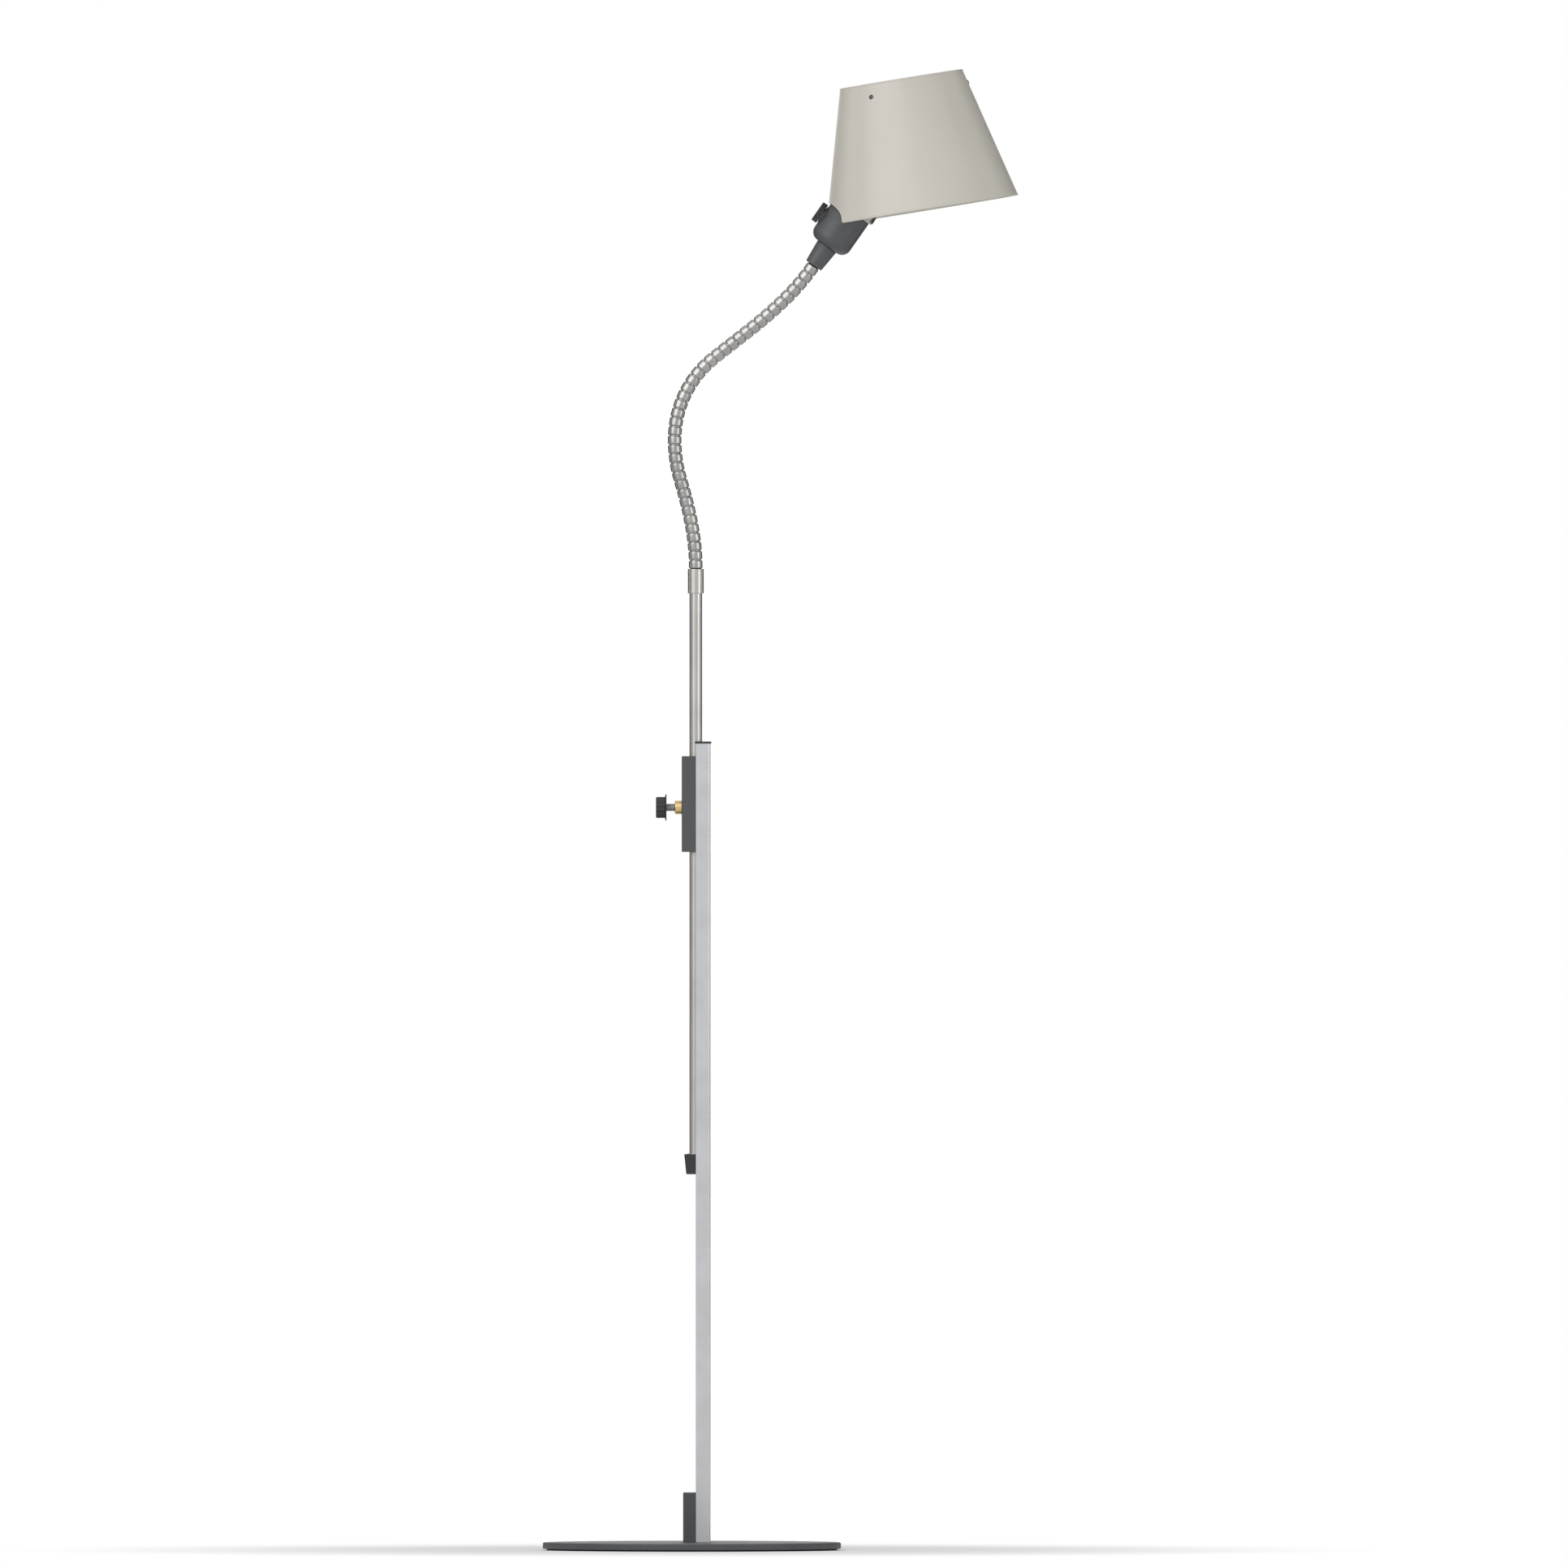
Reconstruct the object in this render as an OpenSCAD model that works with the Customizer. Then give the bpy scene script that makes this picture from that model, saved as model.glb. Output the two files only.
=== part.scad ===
/* [Base] */
// Diameter of the round base plate
base_d = 305; // [260:1:360]
// Thickness of the steel base plate
base_t = 6.5; // [5:0.5:12]
// Radius of the plate's rounded top edge
base_edge = 1.5; // [0.5:0.25:2.5]
// Thickness of the pad under the plate
foot_pad_t = 1.5; // [1:0.25:3]
// How far the pad stays in from the plate's edge
foot_pad_inset = 4; // [1:0.5:10]

/* [Upright channel] */
// Length of the upright channel
upright_len = 817; // [760:1:900]
// Width of the channel
upright_w = 28; // [27:0.5:32]
// Depth of the channel from its open side to its back
upright_d = 15; // [14:0.5:20]
// Wall of the channel
upright_wall = 1.6; // [1.2:0.1:2]
// Radius of the channel's outer back corners
upright_round = 2.5; // [1:0.25:4]
// Distance from the base's centre to the channel's open side, which is the rod's axis
mast_x = 4; // [0:0.5:10]
// Thickness of the cap on the channel's top
cap_t = 2; // [1.5:0.25:4]
// How far the cap stands out past the channel
cap_lip = 1; // [0.5:0.25:2]
// Depth of the cap's skirt inside the channel
cap_skirt = 8; // [4:1:14]

/* [Foot block] */
// Height of the foot block
foot_h = 51; // [40:1:60]
// How far the foot block stands out in front of the channel
foot_front = 13; // [11:0.5:16]
// Diameter of the base screws
base_screw_d = 5; // [4:0.5:6]
// Distance between the two base screws
base_screw_gap = 15; // [13:0.5:17]
// Diameter of the countersunk screws through the channel's back
back_screw_d = 4; // [3:0.5:4.5]

/* [Clamp block] */
// Height of the clamp block's underside above the base plate
clamp_z = 706; // [640:1:709]
// Height of the clamp block
clamp_h = 98; // [90:1:105]
// How far the clamp block stands out in front of the channel
clamp_front = 14.4; // [13.5:0.1:18]
// Radius of the blocks' front edges
block_round = 2; // [1:0.25:3]
// Length of each guide bush
bush_len = 16; // [10:1:24]
// Wall of the guide bushes
bush_wall = 1.5; // [1:0.1:1.8]
// Height of the clamp screw above the block's underside
screw_h = 45.5; // [40:0.5:55]

/* [Clamp screw] */
// Diameter of the screw's stud
stud_d = 8; // [6:0.5:8]
// Diameter of the threaded boss on the block
boss_d = 14; // [13:0.5:18]
// Length of the boss in front of the block
boss_len = 7; // [5:0.5:10]
// Length of bare stud between the boss and the knob
stud_show = 8.6; // [7:0.2:12]
// Diameter of the knob's flange
flange_d = 28; // [26:0.5:34]
// Thickness of the knob's flange
flange_t = 1.4; // [1:0.1:3]
// Diameter of the knob's grip
knob_d = 22; // [20:0.5:25]
// Length of the knob's grip
knob_len = 9.4; // [8:0.2:14]
// Number of finger flutes round the grip
knob_flutes = 12; // [8:1:16]

/* [Mast] */
// Diameter of the sliding rod
rod_d = 13; // [12:0.5:13.5]
// Wall of the rod
rod_wall = 1.2; // [1:0.1:1.6]
// Length of the rod
rod_len = 602; // [560:1:640]
// Height of the guide shoe's underside above the base plate
shoe_z = 376.4; // [340:0.1:400]
// Height of the guide shoe
shoe_h = 20.6; // [18:0.2:26]
// Diameter of the shoe's front at its top
shoe_top_d = 23.8; // [22:0.2:24]
// Diameter of the shoe's front at its underside
shoe_bottom_d = 19.6; // [18.4:0.2:21]
// Diameter of the ferrule at the rod's top
ferrule_d = 16.2; // [15.8:0.1:18]
// Length of the ferrule
ferrule_len = 25; // [20:0.5:32]

/* [Neck] */
// Outer diameter of the flexible neck
neck_d = 14; // [13.8:0.1:14.2]
// Diameter of the neck at the bottom of its grooves
neck_core_d = 11.4; // [11:0.1:12]
// Length of one rib with its groove
rib_pitch = 9.25; // [9.2:0.05:9.6]
// Width of a groove
groove_w = 1.3; // [1:0.1:1.6]
// Number of ribs in each stretch of the neck
ribs = 5; // [4:1:6]
// Bore of the neck for the lamp's lead
neck_bore_d = 4; // [3:0.2:4.4]
// Diameter of the ball at the end of each stretch
ball_d = 10; // [9.8:0.1:10.2]
// Gap between a ball and its cup
ball_gap = 0.3; // [0.25:0.05:0.35]

/* [Collar and holder] */
// Diameter of the collar where the neck goes in
collar_bottom_d = 18.6; // [17:0.2:20]
// Diameter of the collar under the cup
collar_top_d = 22.8; // [21:0.2:26]
// Height of the collar
collar_h = 23.7; // [20:0.1:30]
// Diameter of the holder cup
cup_d = 43.8; // [42.8:0.2:46]
// Height of the holder cup
cup_h = 43.6; // [42:0.2:46]
// Wall of the cup
cup_wall = 1.5; // [1.2:0.1:2]
// Radius of the cup's lower corner
cup_round = 10; // [8:0.5:11]
// Diameter of the ring on the cup
ring_d = 50.4; // [49:0.2:50.6]
// Height of the ring on the cup
ring_h = 10.4; // [8:0.2:13]
// Diameter of the lampholder's body
holder_d = 36; // [35:0.2:37]
// Height of the lampholder's body
holder_h = 30; // [29:0.5:31]

/* [Switch] */
// Height of the switch's axis above the cup's bottom
switch_z = 24.5; // [24:0.1:25]
// Diameter of the switch knob
switch_d = 22; // [20:0.5:23]
// Thickness of the switch knob
switch_t = 6; // [4.5:0.25:8]
// Number of notches round the switch knob
switch_notches = 20; // [12:1:24]

/* [Bulb] */
// Largest diameter of the bulb
bulb_d = 60; // [55:1:62]
// Length of the bulb's glass
bulb_len = 82; // [76:1:86]

/* [Shade] */
// Diameter of the shade's top
shade_top_d = 127; // [120:1:135]
// Diameter of the shade's mouth
shade_mouth_d = 198; // [196:0.5:202]
// Height of the shade along its axis
shade_h = 134.5; // [128:0.5:145]
// Wall of the shade
shade_wall = 1; // [0.8:0.1:1.4]
// Distance of the mouth's centre from the holder's axis
shade_x = 58.3; // [57.5:0.1:59]
// Distance of the mouth's centre from the cup's bottom, along the holder's axis
shade_z = 87; // [86:0.1:88.5]
// Angle between the shade's axis and the holder's axis
shade_lean = 44.2; // [43.2:0.1:45]
// Width of the arch in the shade's rim that the holder goes through
notch_w = 107; // [90:1:115]
// Height of that arch
notch_h = 23; // [22.5:0.5:26]
// Distance of the rivets below the shade's top
rivet_drop = 13; // [11:0.5:18]
// Diameter of the rivets' heads
rivet_d = 5; // [4:0.25:6]
// Thickness of the bracket and the spider inside the shade
strap_t = 1.5; // [1:0.1:2]
// Width of the bracket and the spider's arms
strap_w = 12; // [8:1:14]

/* [Hidden] */
$fn = 64;
// Bend of each stretch of the neck, in degrees, from the ferrule to the collar
NECK_BENDS = [-11, -6, 19, 25, 25, 0, -6, -11];
STRETCHES = len(NECK_BENDS);
// Loose fit between parts that are screwed or pushed together
fit = 0.05;
// Radial fit of parts that turn or slide in each other
run_fit = 0.06;
// Gap between flat faces that slide past each other
slide_gap = 0.3;
// Overlap of shapes that are joined, and length that a cut goes past a face
over = 0.5;

base_top = foot_pad_t + base_t;
rod_r = rod_d / 2;
neck_r = neck_d / 2;
core_r = neck_core_d / 2;
ball_r = ball_d / 2;

// Upright channel; its open side is the plane of the rod's axis
upright_top = base_top + upright_len;
channel_half = upright_w / 2 - upright_wall;
channel_deep = upright_d - upright_wall;
back_x = mast_x + upright_d;
tongue_gap = 0.1;

// Clamp block, its bore and its screw
clamp_bottom = base_top + clamp_z;
clamp_top = clamp_bottom + clamp_h;
bush_r = rod_r + bush_wall;
relief_r = rod_r + bush_wall / 2;
clamp_face = mast_x - clamp_front;
screw_z = clamp_bottom + screw_h;
stud_r = stud_d / 2;
shank_r = stud_r + 1.5;
shank_end = mast_x - bush_r - 0.9;
boss_face = clamp_face - boss_len;
flange_face = boss_face - stud_show;
grip_face = flange_face - flange_t;
tip_x = mast_x - rod_r - 4.5;
pivot_r = stud_r / 2;
pivot_len = 2;

// Rod, shoe and ferrule
shoe_bottom = base_top + shoe_z;
shoe_top = shoe_bottom + shoe_h;
shoe_counterbore = 4;
rod_bottom = shoe_bottom + shoe_counterbore;
rod_top = rod_bottom + rod_len;
plug_flange_r = rod_r + 1.6;
plug_flange_t = 2.4;
plug_len = 14;
clip_r = rod_r + 2;
clip_t = 1.2;
clip_seat = 0.6;
ferrule_seat = 12;
ferrule_bottom = rod_top - ferrule_seat;
ferrule_top = ferrule_bottom + ferrule_len;
ferrule_lip = 1.3;

// Neck: ribs along a centreline that is made of arcs
ball_lead = 5.2;
cup_angle = 60;
stem_angle = 39.5;
ball_cup_r = ball_r + ball_gap;
rib_chamfer = 0.8;
head_tilt = sum_to(NECK_BENDS, STRETCHES);

// Holder, in its own frame: origin at the cup's bottom and +Z along the neck's end
cup_r = cup_d / 2;
cup_in = cup_r - cup_wall;
ring_z = cup_h;
plate_z = ring_z + ring_h;
lock_z = plate_z + strap_t;
lock_h = 4.5;
holder_r = holder_d / 2;
holder_z = lock_z + lock_h + 1 - holder_h;
shell_r = 14.2;
shell_wall = 0.5;
shell_z = holder_z + 4;
shell_len = 17;
flare_z = shell_z + shell_len;
nipple_r = 5;
nipple_bore_r = 3.5;
nipple_low = -11;
nipple_high = 9;
socket_depth = 12;
boss_pad_r = 9;
boss_pad_out = 0.8;
bezel_r = 7;
bezel_t = 1.3;
shaft_r = 3;
thread_r = 4.5;
switch_half = 9;
switch_deep = 15;
switch_low = switch_z - 8;
knob_in = cup_r + boss_pad_out + slide_gap;
knob_out = knob_in + switch_t;

// Bulb
cap_r = 13;
cap_z = shell_z + 2;
cap_len = 19;
glass_z = cap_z + cap_len;
glass_wall = 0.8;
glass_neck_r = cap_r - 0.5;
bulb_r = bulb_d / 2;
bulb_centre = glass_z + bulb_len - bulb_r;

// Shade, in its own frame: origin at the mouth's centre and +Z towards its top
mouth_r = shade_mouth_d / 2;
top_r = shade_top_d / 2;
cone_angle = atan2(mouth_r - top_r, shade_h);
rivet_z = shade_h - rivet_drop;
hub_r = 11;
hub_screw_r = 2.5;
hub_head_r = 4.5;
hub_head_t = 2.2;
hub_nut_r = 4.5;
hub_nut_h = 7;
hub_nut_flange_r = 6.5;
hub_nut_flange_t = 2;
hub_screw_up = 5.5;
bracket_lip = 6.5;
bracket_gap = 9;
holder_mouth_flare = 2.2;
SPIDER_ANGLES = [0, 120, 240];
tab_h = 10;
tab_gap = 0.5;
tab_rise = 0.5;
hub_z = rivet_z - tab_h / 2 + tab_rise;
rivet_shank_r = 1.6;
rivet_head = 0.9;
rivet_seat = 0.2;
rivet_tail_t = 1;
rivet_tail_r = 2.5;
rivet_play = 0.4;

function sum_to(list, n) = n <= 0 ? 0 : list[n - 1] + sum_to(list, n - 1);

// Angle of the neck at a number of ribs from the ferrule, in degrees from vertical
function heading(r) =
  let (whole = min(floor(r / ribs), STRETCHES - 1))
  sum_to(NECK_BENDS, whole) + NECK_BENDS[whole] * (r / ribs - whole);

// Place of the neck's centreline at a number of ribs from the ferrule
function neck_point(r) =
  r <= 0
    ? [mast_x, 0, ferrule_top + r * rib_pitch]
    : let (whole = ceil(r) - 1, part = r - whole, turn = heading(whole + 0.5))
      neck_point(whole) + part * rib_pitch * [sin(turn), 0, cos(turn)];

// Radius of the bulb's glass at a share of the way from its neck to its widest place
function bulb_flare(share) = glass_neck_r + (bulb_r - glass_neck_r) * (1 - cos(180 * share)) / 2;

function shade_r(z) = mouth_r + (top_r - mouth_r) * z / shade_h;

module in_head() {
  translate(neck_point(ribs * STRETCHES)) rotate([0, head_tilt, 0]) translate([0, 0, collar_h]) children();
}

module in_shade() {
  in_head() translate([shade_x, 0, shade_z]) rotate([0, -shade_lean, 0]) children();
}

// Turns a shape that is drawn along +Z to point along -X, the way the clamp screw points
module towards_front() {
  rotate([0, -90, 0]) children();
}

module tube(h, outer, inner) {
  difference() {
    cylinder(h = h, r = outer);
    translate([0, 0, -over]) cylinder(h = h + 2 * over, r = inner);
  }
}

// Countersunk screw with its head's face at z = 0 and its point up; grow adds room for its hole
module flat_screw(d, len, grow = 0) {
  head_h = d / 2;
  translate([0, 0, -grow]) cylinder(h = len + 2 * grow, r = d / 2 + grow);
  translate([0, 0, -grow]) cylinder(h = head_h + grow, r1 = d + 2 * grow, r2 = d / 2 + grow);
}

// Plan of a block in the channel: a tongue between the walls and a front with rounded edges
module block_plan(front) {
  half = upright_w / 2;
  translate([-front + block_round, -half]) square([front - block_round, upright_w]);
  translate([-front, -half + block_round]) square([block_round + over, upright_w - 2 * block_round]);
  for (side = [-1, 1]) {
    translate([-front + block_round, side * (half - block_round)]) circle(r = block_round);
  }
  tongue_half = channel_half - tongue_gap;
  translate([-over, -tongue_half]) square([channel_deep - tongue_gap + over, 2 * tongue_half]);
}

// The two screws through the channel's back, at heights above its foot
module back_screw_pair(low, high, grow = 0) {
  for (z = [low, high]) {
    translate([back_x, 0, z]) towards_front() flat_screw(back_screw_d, upright_wall + 4.2, grow);
  }
}

module all_back_screws(grow = 0) {
  back_screw_pair(base_top + foot_h * 0.28, base_top + foot_h * 0.72, grow);
  back_screw_pair(clamp_bottom + clamp_h * 0.15, clamp_top - clamp_h * 0.15, grow);
}

module base_screw_places() {
  for (side = [-1, 1]) {
    translate([mast_x, side * base_screw_gap / 2, foot_pad_t]) children();
  }
}

module base_plate() {
  edge_r = base_d / 2 - base_edge;
  color("#2b2d30") difference() {
    translate([0, 0, foot_pad_t]) rotate_extrude($fn = 128) {
      square([edge_r, base_t]);
      square([base_d / 2, base_t - base_edge]);
      translate([edge_r, base_t - base_edge]) circle(r = base_edge);
    }
    base_screw_places() flat_screw(base_screw_d, base_t + over, fit);
  }
}

module foot_pad() {
  color("#1b1b1c") cylinder(h = foot_pad_t, r = base_d / 2 - foot_pad_inset, $fn = 128);
}

module foot_block() {
  color("#2b2d30") difference() {
    translate([mast_x, 0, base_top]) linear_extrude(foot_h) block_plan(foot_front);
    base_screw_places() flat_screw(base_screw_d, base_t + 16, fit);
    all_back_screws(fit);
  }
}

module base_screws() {
  color("#8c8f93") base_screw_places() flat_screw(base_screw_d, base_t + 15);
}

module upright_channel() {
  half = upright_w / 2;
  color("#b9bcc0") difference() {
    translate([0, 0, base_top]) linear_extrude(upright_len) difference() {
      union() {
        translate([mast_x, -half]) square([upright_d - upright_round, upright_w]);
        translate([mast_x, -half + upright_round]) square([upright_d, upright_w - 2 * upright_round]);
        for (side = [-1, 1]) {
          translate([back_x - upright_round, side * (half - upright_round)]) circle(r = upright_round);
        }
      }
      translate([mast_x - over, -channel_half]) square([channel_deep + over, 2 * channel_half]);
    }
    all_back_screws(fit);
  }
}

module back_screws() {
  color("#8c8f93") all_back_screws();
}

// Cap with a skirt inside the channel, open at the front round the rod
module channel_cap() {
  skirt_half = channel_half - tongue_gap;
  rod_room = rod_r + 0.8;
  color("#2b2d30") difference() {
    union() {
      translate([mast_x - cap_lip, -upright_w / 2 - cap_lip, upright_top])
        cube([upright_d + 2 * cap_lip, upright_w + 2 * cap_lip, cap_t]);
      translate([mast_x + 1, -skirt_half, upright_top - cap_skirt])
        cube([channel_deep - tongue_gap - 1, 2 * skirt_half, cap_skirt + over]);
    }
    translate([mast_x, 0, upright_top - cap_skirt - over]) {
      cylinder(h = cap_skirt + cap_t + 2 * over, r = rod_room);
      translate([-upright_d, -rod_room, 0]) cube([upright_d, 2 * rod_room, cap_skirt + cap_t + 2 * over]);
    }
  }
}

module clamp_block() {
  color("#2b2d30") difference() {
    translate([mast_x, 0, clamp_bottom]) linear_extrude(clamp_h) block_plan(clamp_front);
    translate([mast_x, 0, clamp_bottom - over]) cylinder(h = clamp_h + 2 * over, r = relief_r);
    for (z = [clamp_bottom - over, clamp_top - bush_len]) {
      translate([mast_x, 0, z]) cylinder(h = bush_len + over, r = bush_r + fit);
    }
    translate([mast_x, 0, screw_z]) towards_front() {
      cylinder(h = clamp_front + over, r = stud_r + run_fit);
      translate([0, 0, mast_x - shank_end]) cylinder(h = clamp_front, r = shank_r + fit);
    }
    all_back_screws(fit);
  }
}

module guide_bush(z) {
  color("#e6e2d6") translate([mast_x, 0, z]) tube(bush_len, bush_r, rod_r + run_fit);
}

module upper_bush() {
  guide_bush(clamp_top - bush_len);
}

module lower_bush() {
  guide_bush(clamp_bottom);
}

// Threaded insert with a round boss in front of the block
module screw_boss() {
  color("#c7b27a") translate([clamp_face, 0, screw_z]) difference() {
    union() {
      towards_front() cylinder(h = boss_len, r = boss_d / 2);
      rotate([0, 90, 0]) cylinder(h = shank_end - clamp_face - fit, r = shank_r);
    }
    translate([shank_end - clamp_face + over, 0, 0]) towards_front()
      cylinder(h = shank_end - boss_face + 2 * over, r = stud_r + run_fit);
  }
}

// Nylon pad on the stud's tip, hollowed to the rod's radius
module brake_pad() {
  color("#e6e2d6") translate([0, 0, screw_z]) difference() {
    translate([mast_x, 0, 0]) towards_front() cylinder(h = mast_x - tip_x, r = stud_r - run_fit);
    translate([mast_x, 0, -stud_d]) cylinder(h = 2 * stud_d, r = rod_r + run_fit);
    translate([tip_x - over, 0, 0]) rotate([0, 90, 0]) cylinder(h = pivot_len + 2 * over, r = pivot_r + run_fit);
  }
}

module clamp_stud() {
  head_depth = 6;
  color("#a9acb0") translate([tip_x - fit, 0, screw_z]) {
    towards_front() cylinder(h = tip_x - fit - grip_face + head_depth, r = stud_r);
    rotate([0, 90, 0]) cylinder(h = pivot_len, r = pivot_r);
  }
}

// Fluted knob with a thin flange towards the block
module clamp_knob() {
  flute_r = 1.6;
  color("#1f2022") translate([flange_face, 0, screw_z]) towards_front() difference() {
    union() {
      cylinder(h = flange_t, r = flange_d / 2);
      cylinder(h = flange_t + knob_len - 1, r = knob_d / 2);
      translate([0, 0, flange_t + knob_len - 1]) cylinder(h = 1, r1 = knob_d / 2, r2 = knob_d / 2 - 1);
    }
    translate([0, 0, -over]) cylinder(h = flange_t + 6 + fit + over, r = stud_r + fit);
    for (i = [0 : knob_flutes - 1]) {
      rotate([0, 0, 360 * i / knob_flutes]) translate([knob_d / 2 + 0.7, 0, flange_t])
        cylinder(h = knob_len + over, r = flute_r, $fn = 24);
    }
  }
}

// Shoe that runs in the channel: a square back and a tapered round front
module guide_shoe() {
  back_half = channel_half - slide_gap;
  color("#1f2022") translate([mast_x, 0, shoe_bottom]) difference() {
    union() {
      cylinder(h = shoe_h, r1 = shoe_bottom_d / 2, r2 = shoe_top_d / 2);
      translate([0, -back_half, 0]) cube([channel_deep - slide_gap, 2 * back_half, shoe_h]);
    }
    translate([0, 0, -over]) {
      cylinder(h = shoe_h + 2 * over, r = rod_r + run_fit);
      cylinder(h = shoe_counterbore + over, r = plug_flange_r + slide_gap);
    }
    translate([0, 0, shoe_h - clip_seat]) cylinder(h = shoe_h, r = clip_r + slide_gap);
  }
}

module mast_rod() {
  color("#c9ccd0") translate([mast_x, 0, rod_bottom]) difference() {
    tube(rod_len, rod_r, rod_r - rod_wall);
    translate([0, 0, shoe_top - clip_seat - rod_bottom]) tube(clip_t + fit, rod_r + over, rod_r - rod_wall / 2);
  }
}

// Outlet bush in the rod's end; its flange keeps the rod in the shoe
module rod_end_plug() {
  in_rod_r = rod_r - rod_wall - fit;
  color("#1f2022") translate([mast_x, 0, rod_bottom]) difference() {
    union() {
      cylinder(h = plug_len, r = in_rod_r);
      translate([0, 0, -plug_flange_t - fit]) cylinder(h = plug_flange_t, r = plug_flange_r);
      translate([0, 0, -fit - over]) cylinder(h = 2 * over, r = in_rod_r);
    }
    translate([0, 0, -plug_flange_t - over]) cylinder(h = plug_len + plug_flange_t + 2 * over, r = in_rod_r - 1.6);
  }
}

// Snap ring in the rod's groove, on top of the shoe
module rod_clip() {
  gap_half = 2;
  color("#a9acb0") translate([mast_x, 0, shoe_top - clip_seat + fit / 2]) difference() {
    tube(clip_t, clip_r, rod_r - rod_wall / 2 + fit);
    translate([0, -gap_half, -over]) cube([clip_r + over, 2 * gap_half, clip_t + 2 * over]);
  }
}

module neck_ferrule() {
  color("#c9ccd0") translate([mast_x, 0, ferrule_bottom]) difference() {
    cylinder(h = ferrule_len - 0.6, r = ferrule_d / 2);
    translate([0, 0, -over]) cylinder(h = ferrule_seat + over, r = rod_r + fit);
    cylinder(h = ferrule_len + over, r = rod_r - rod_wall);
    translate([0, 0, ferrule_seat + 3]) cylinder(h = ferrule_len, r = neck_r);
  }
  color("#c9ccd0") translate([mast_x, 0, ferrule_top - 0.6]) difference() {
    cylinder(h = 0.6, r1 = ferrule_d / 2, r2 = ferrule_d / 2 - 0.4);
    translate([0, 0, -over]) cylinder(h = 2, r = neck_r);
  }
}

// Ball on its stem; the ball's centre is at z = 0 and the stem widens downwards to a depth
module ball_stem(depth) {
  sphere(r = ball_r);
  translate([0, 0, -depth]) cylinder(h = depth, r1 = depth * tan(stem_angle), r2 = 0);
}

module neck_adaptor() {
  stem_depth = ball_lead + ferrule_lip;
  color("#a9acb0") difference() {
    union() {
      translate([mast_x, 0, ferrule_top + ball_lead]) ball_stem(stem_depth + over);
      translate([mast_x, 0, ferrule_bottom + ferrule_seat + 3])
        cylinder(h = ferrule_len - ferrule_seat - 3 - ferrule_lip, r = neck_r - fit);
    }
    translate([mast_x, 0, ferrule_bottom]) cylinder(h = 2 * ferrule_len, r = neck_bore_d / 2);
  }
}

// Places its children on the straight axis of one rib, at a distance above the groove below it
module on_rib(index, up = 0) {
  translate(neck_point(index)) rotate([0, heading(index + 0.5), 0]) translate([0, 0, up]) children();
}

// A rib above its groove, with a core that reaches on into the next rib
module rib(cupped, cored) {
  low = groove_w / 2;
  high = cored ? rib_pitch - groove_w / 2 : rib_pitch - ferrule_lip;
  low_edge = cupped ? 0 : rib_chamfer;
  core_end = cored ? rib_pitch + groove_w / 2 + 1 : high;
  rotate_extrude() polygon(concat(
    [[0, low], [neck_r - low_edge, low]],
    cupped ? [] : [[neck_r, low + low_edge]],
    [[neck_r, high - rib_chamfer], [neck_r - rib_chamfer, high]],
    cored ? [[core_r, high], [core_r, core_end]] : [],
    [[0, core_end]]
  ));
}

// A stretch of the neck: ribs along its arc, a cup over the ball below and a ball above
module neck_stretch(i) {
  first = i * ribs;
  last = i == STRETCHES - 1;
  next = first + ribs;
  bore_r = neck_bore_d / 2;
  color("#c9ccd0") difference() {
    union() {
      for (k = [0 : ribs - 1]) {
        on_rib(first + k) rib(k == 0, k < ribs - 1);
      }
      if (last) {
        in_head() translate([0, 0, -collar_h - ferrule_lip - 1]) cylinder(h = socket_depth, r = core_r);
      } else {
        on_rib(next, ball_lead) ball_stem(ball_lead + ferrule_lip + 1);
      }
    }
    for (k = [0 : ribs - 1]) {
      on_rib(first + k) cylinder(h = rib_pitch, r = bore_r);
      on_rib(first + k + 1) sphere(r = bore_r + 0.8);
    }
    if (last) {
      in_head() translate([0, 0, -collar_h]) cylinder(h = socket_depth, r = bore_r);
    } else {
      on_rib(next) cylinder(h = 2 * ball_d, r = bore_r);
    }
    on_rib(first, ball_lead) {
      sphere(r = ball_cup_r);
      translate([0, 0, -2 * ball_r]) cylinder(h = 2 * ball_r, r1 = 2 * ball_r * tan(cup_angle), r2 = 0);
    }
  }
}

module neck_collar() {
  edge = 1.5;
  color("#2b2d30") in_head() translate([0, 0, -collar_h]) difference() {
    rotate_extrude() polygon([
      [0, 0], [collar_bottom_d / 2 - edge, 0], [collar_bottom_d / 2 - edge * 0.3, edge * 0.3],
      [collar_bottom_d / 2, edge], [collar_top_d / 2, collar_h], [0, collar_h]
    ]);
    translate([0, 0, -over]) cylinder(h = socket_depth + over, r = core_r + fit);
    cylinder(h = collar_h + over, r = nipple_r + fit);
  }
}

module nipple() {
  color("#c7b27a") in_head() translate([0, 0, nipple_low]) tube(nipple_high - nipple_low, nipple_r, nipple_bore_r);
}

module nipple_nut() {
  color("#c7b27a") in_head() translate([0, 0, cup_wall]) difference() {
    cylinder(h = 4, r = 8, $fn = 6);
    translate([0, 0, -over]) cylinder(h = 5, r = nipple_r + fit);
  }
}

// Turns a shape that is drawn along +Z to point out of the cup's switch side
module to_switch() {
  translate([0, 0, switch_z]) towards_front() children();
}

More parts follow.
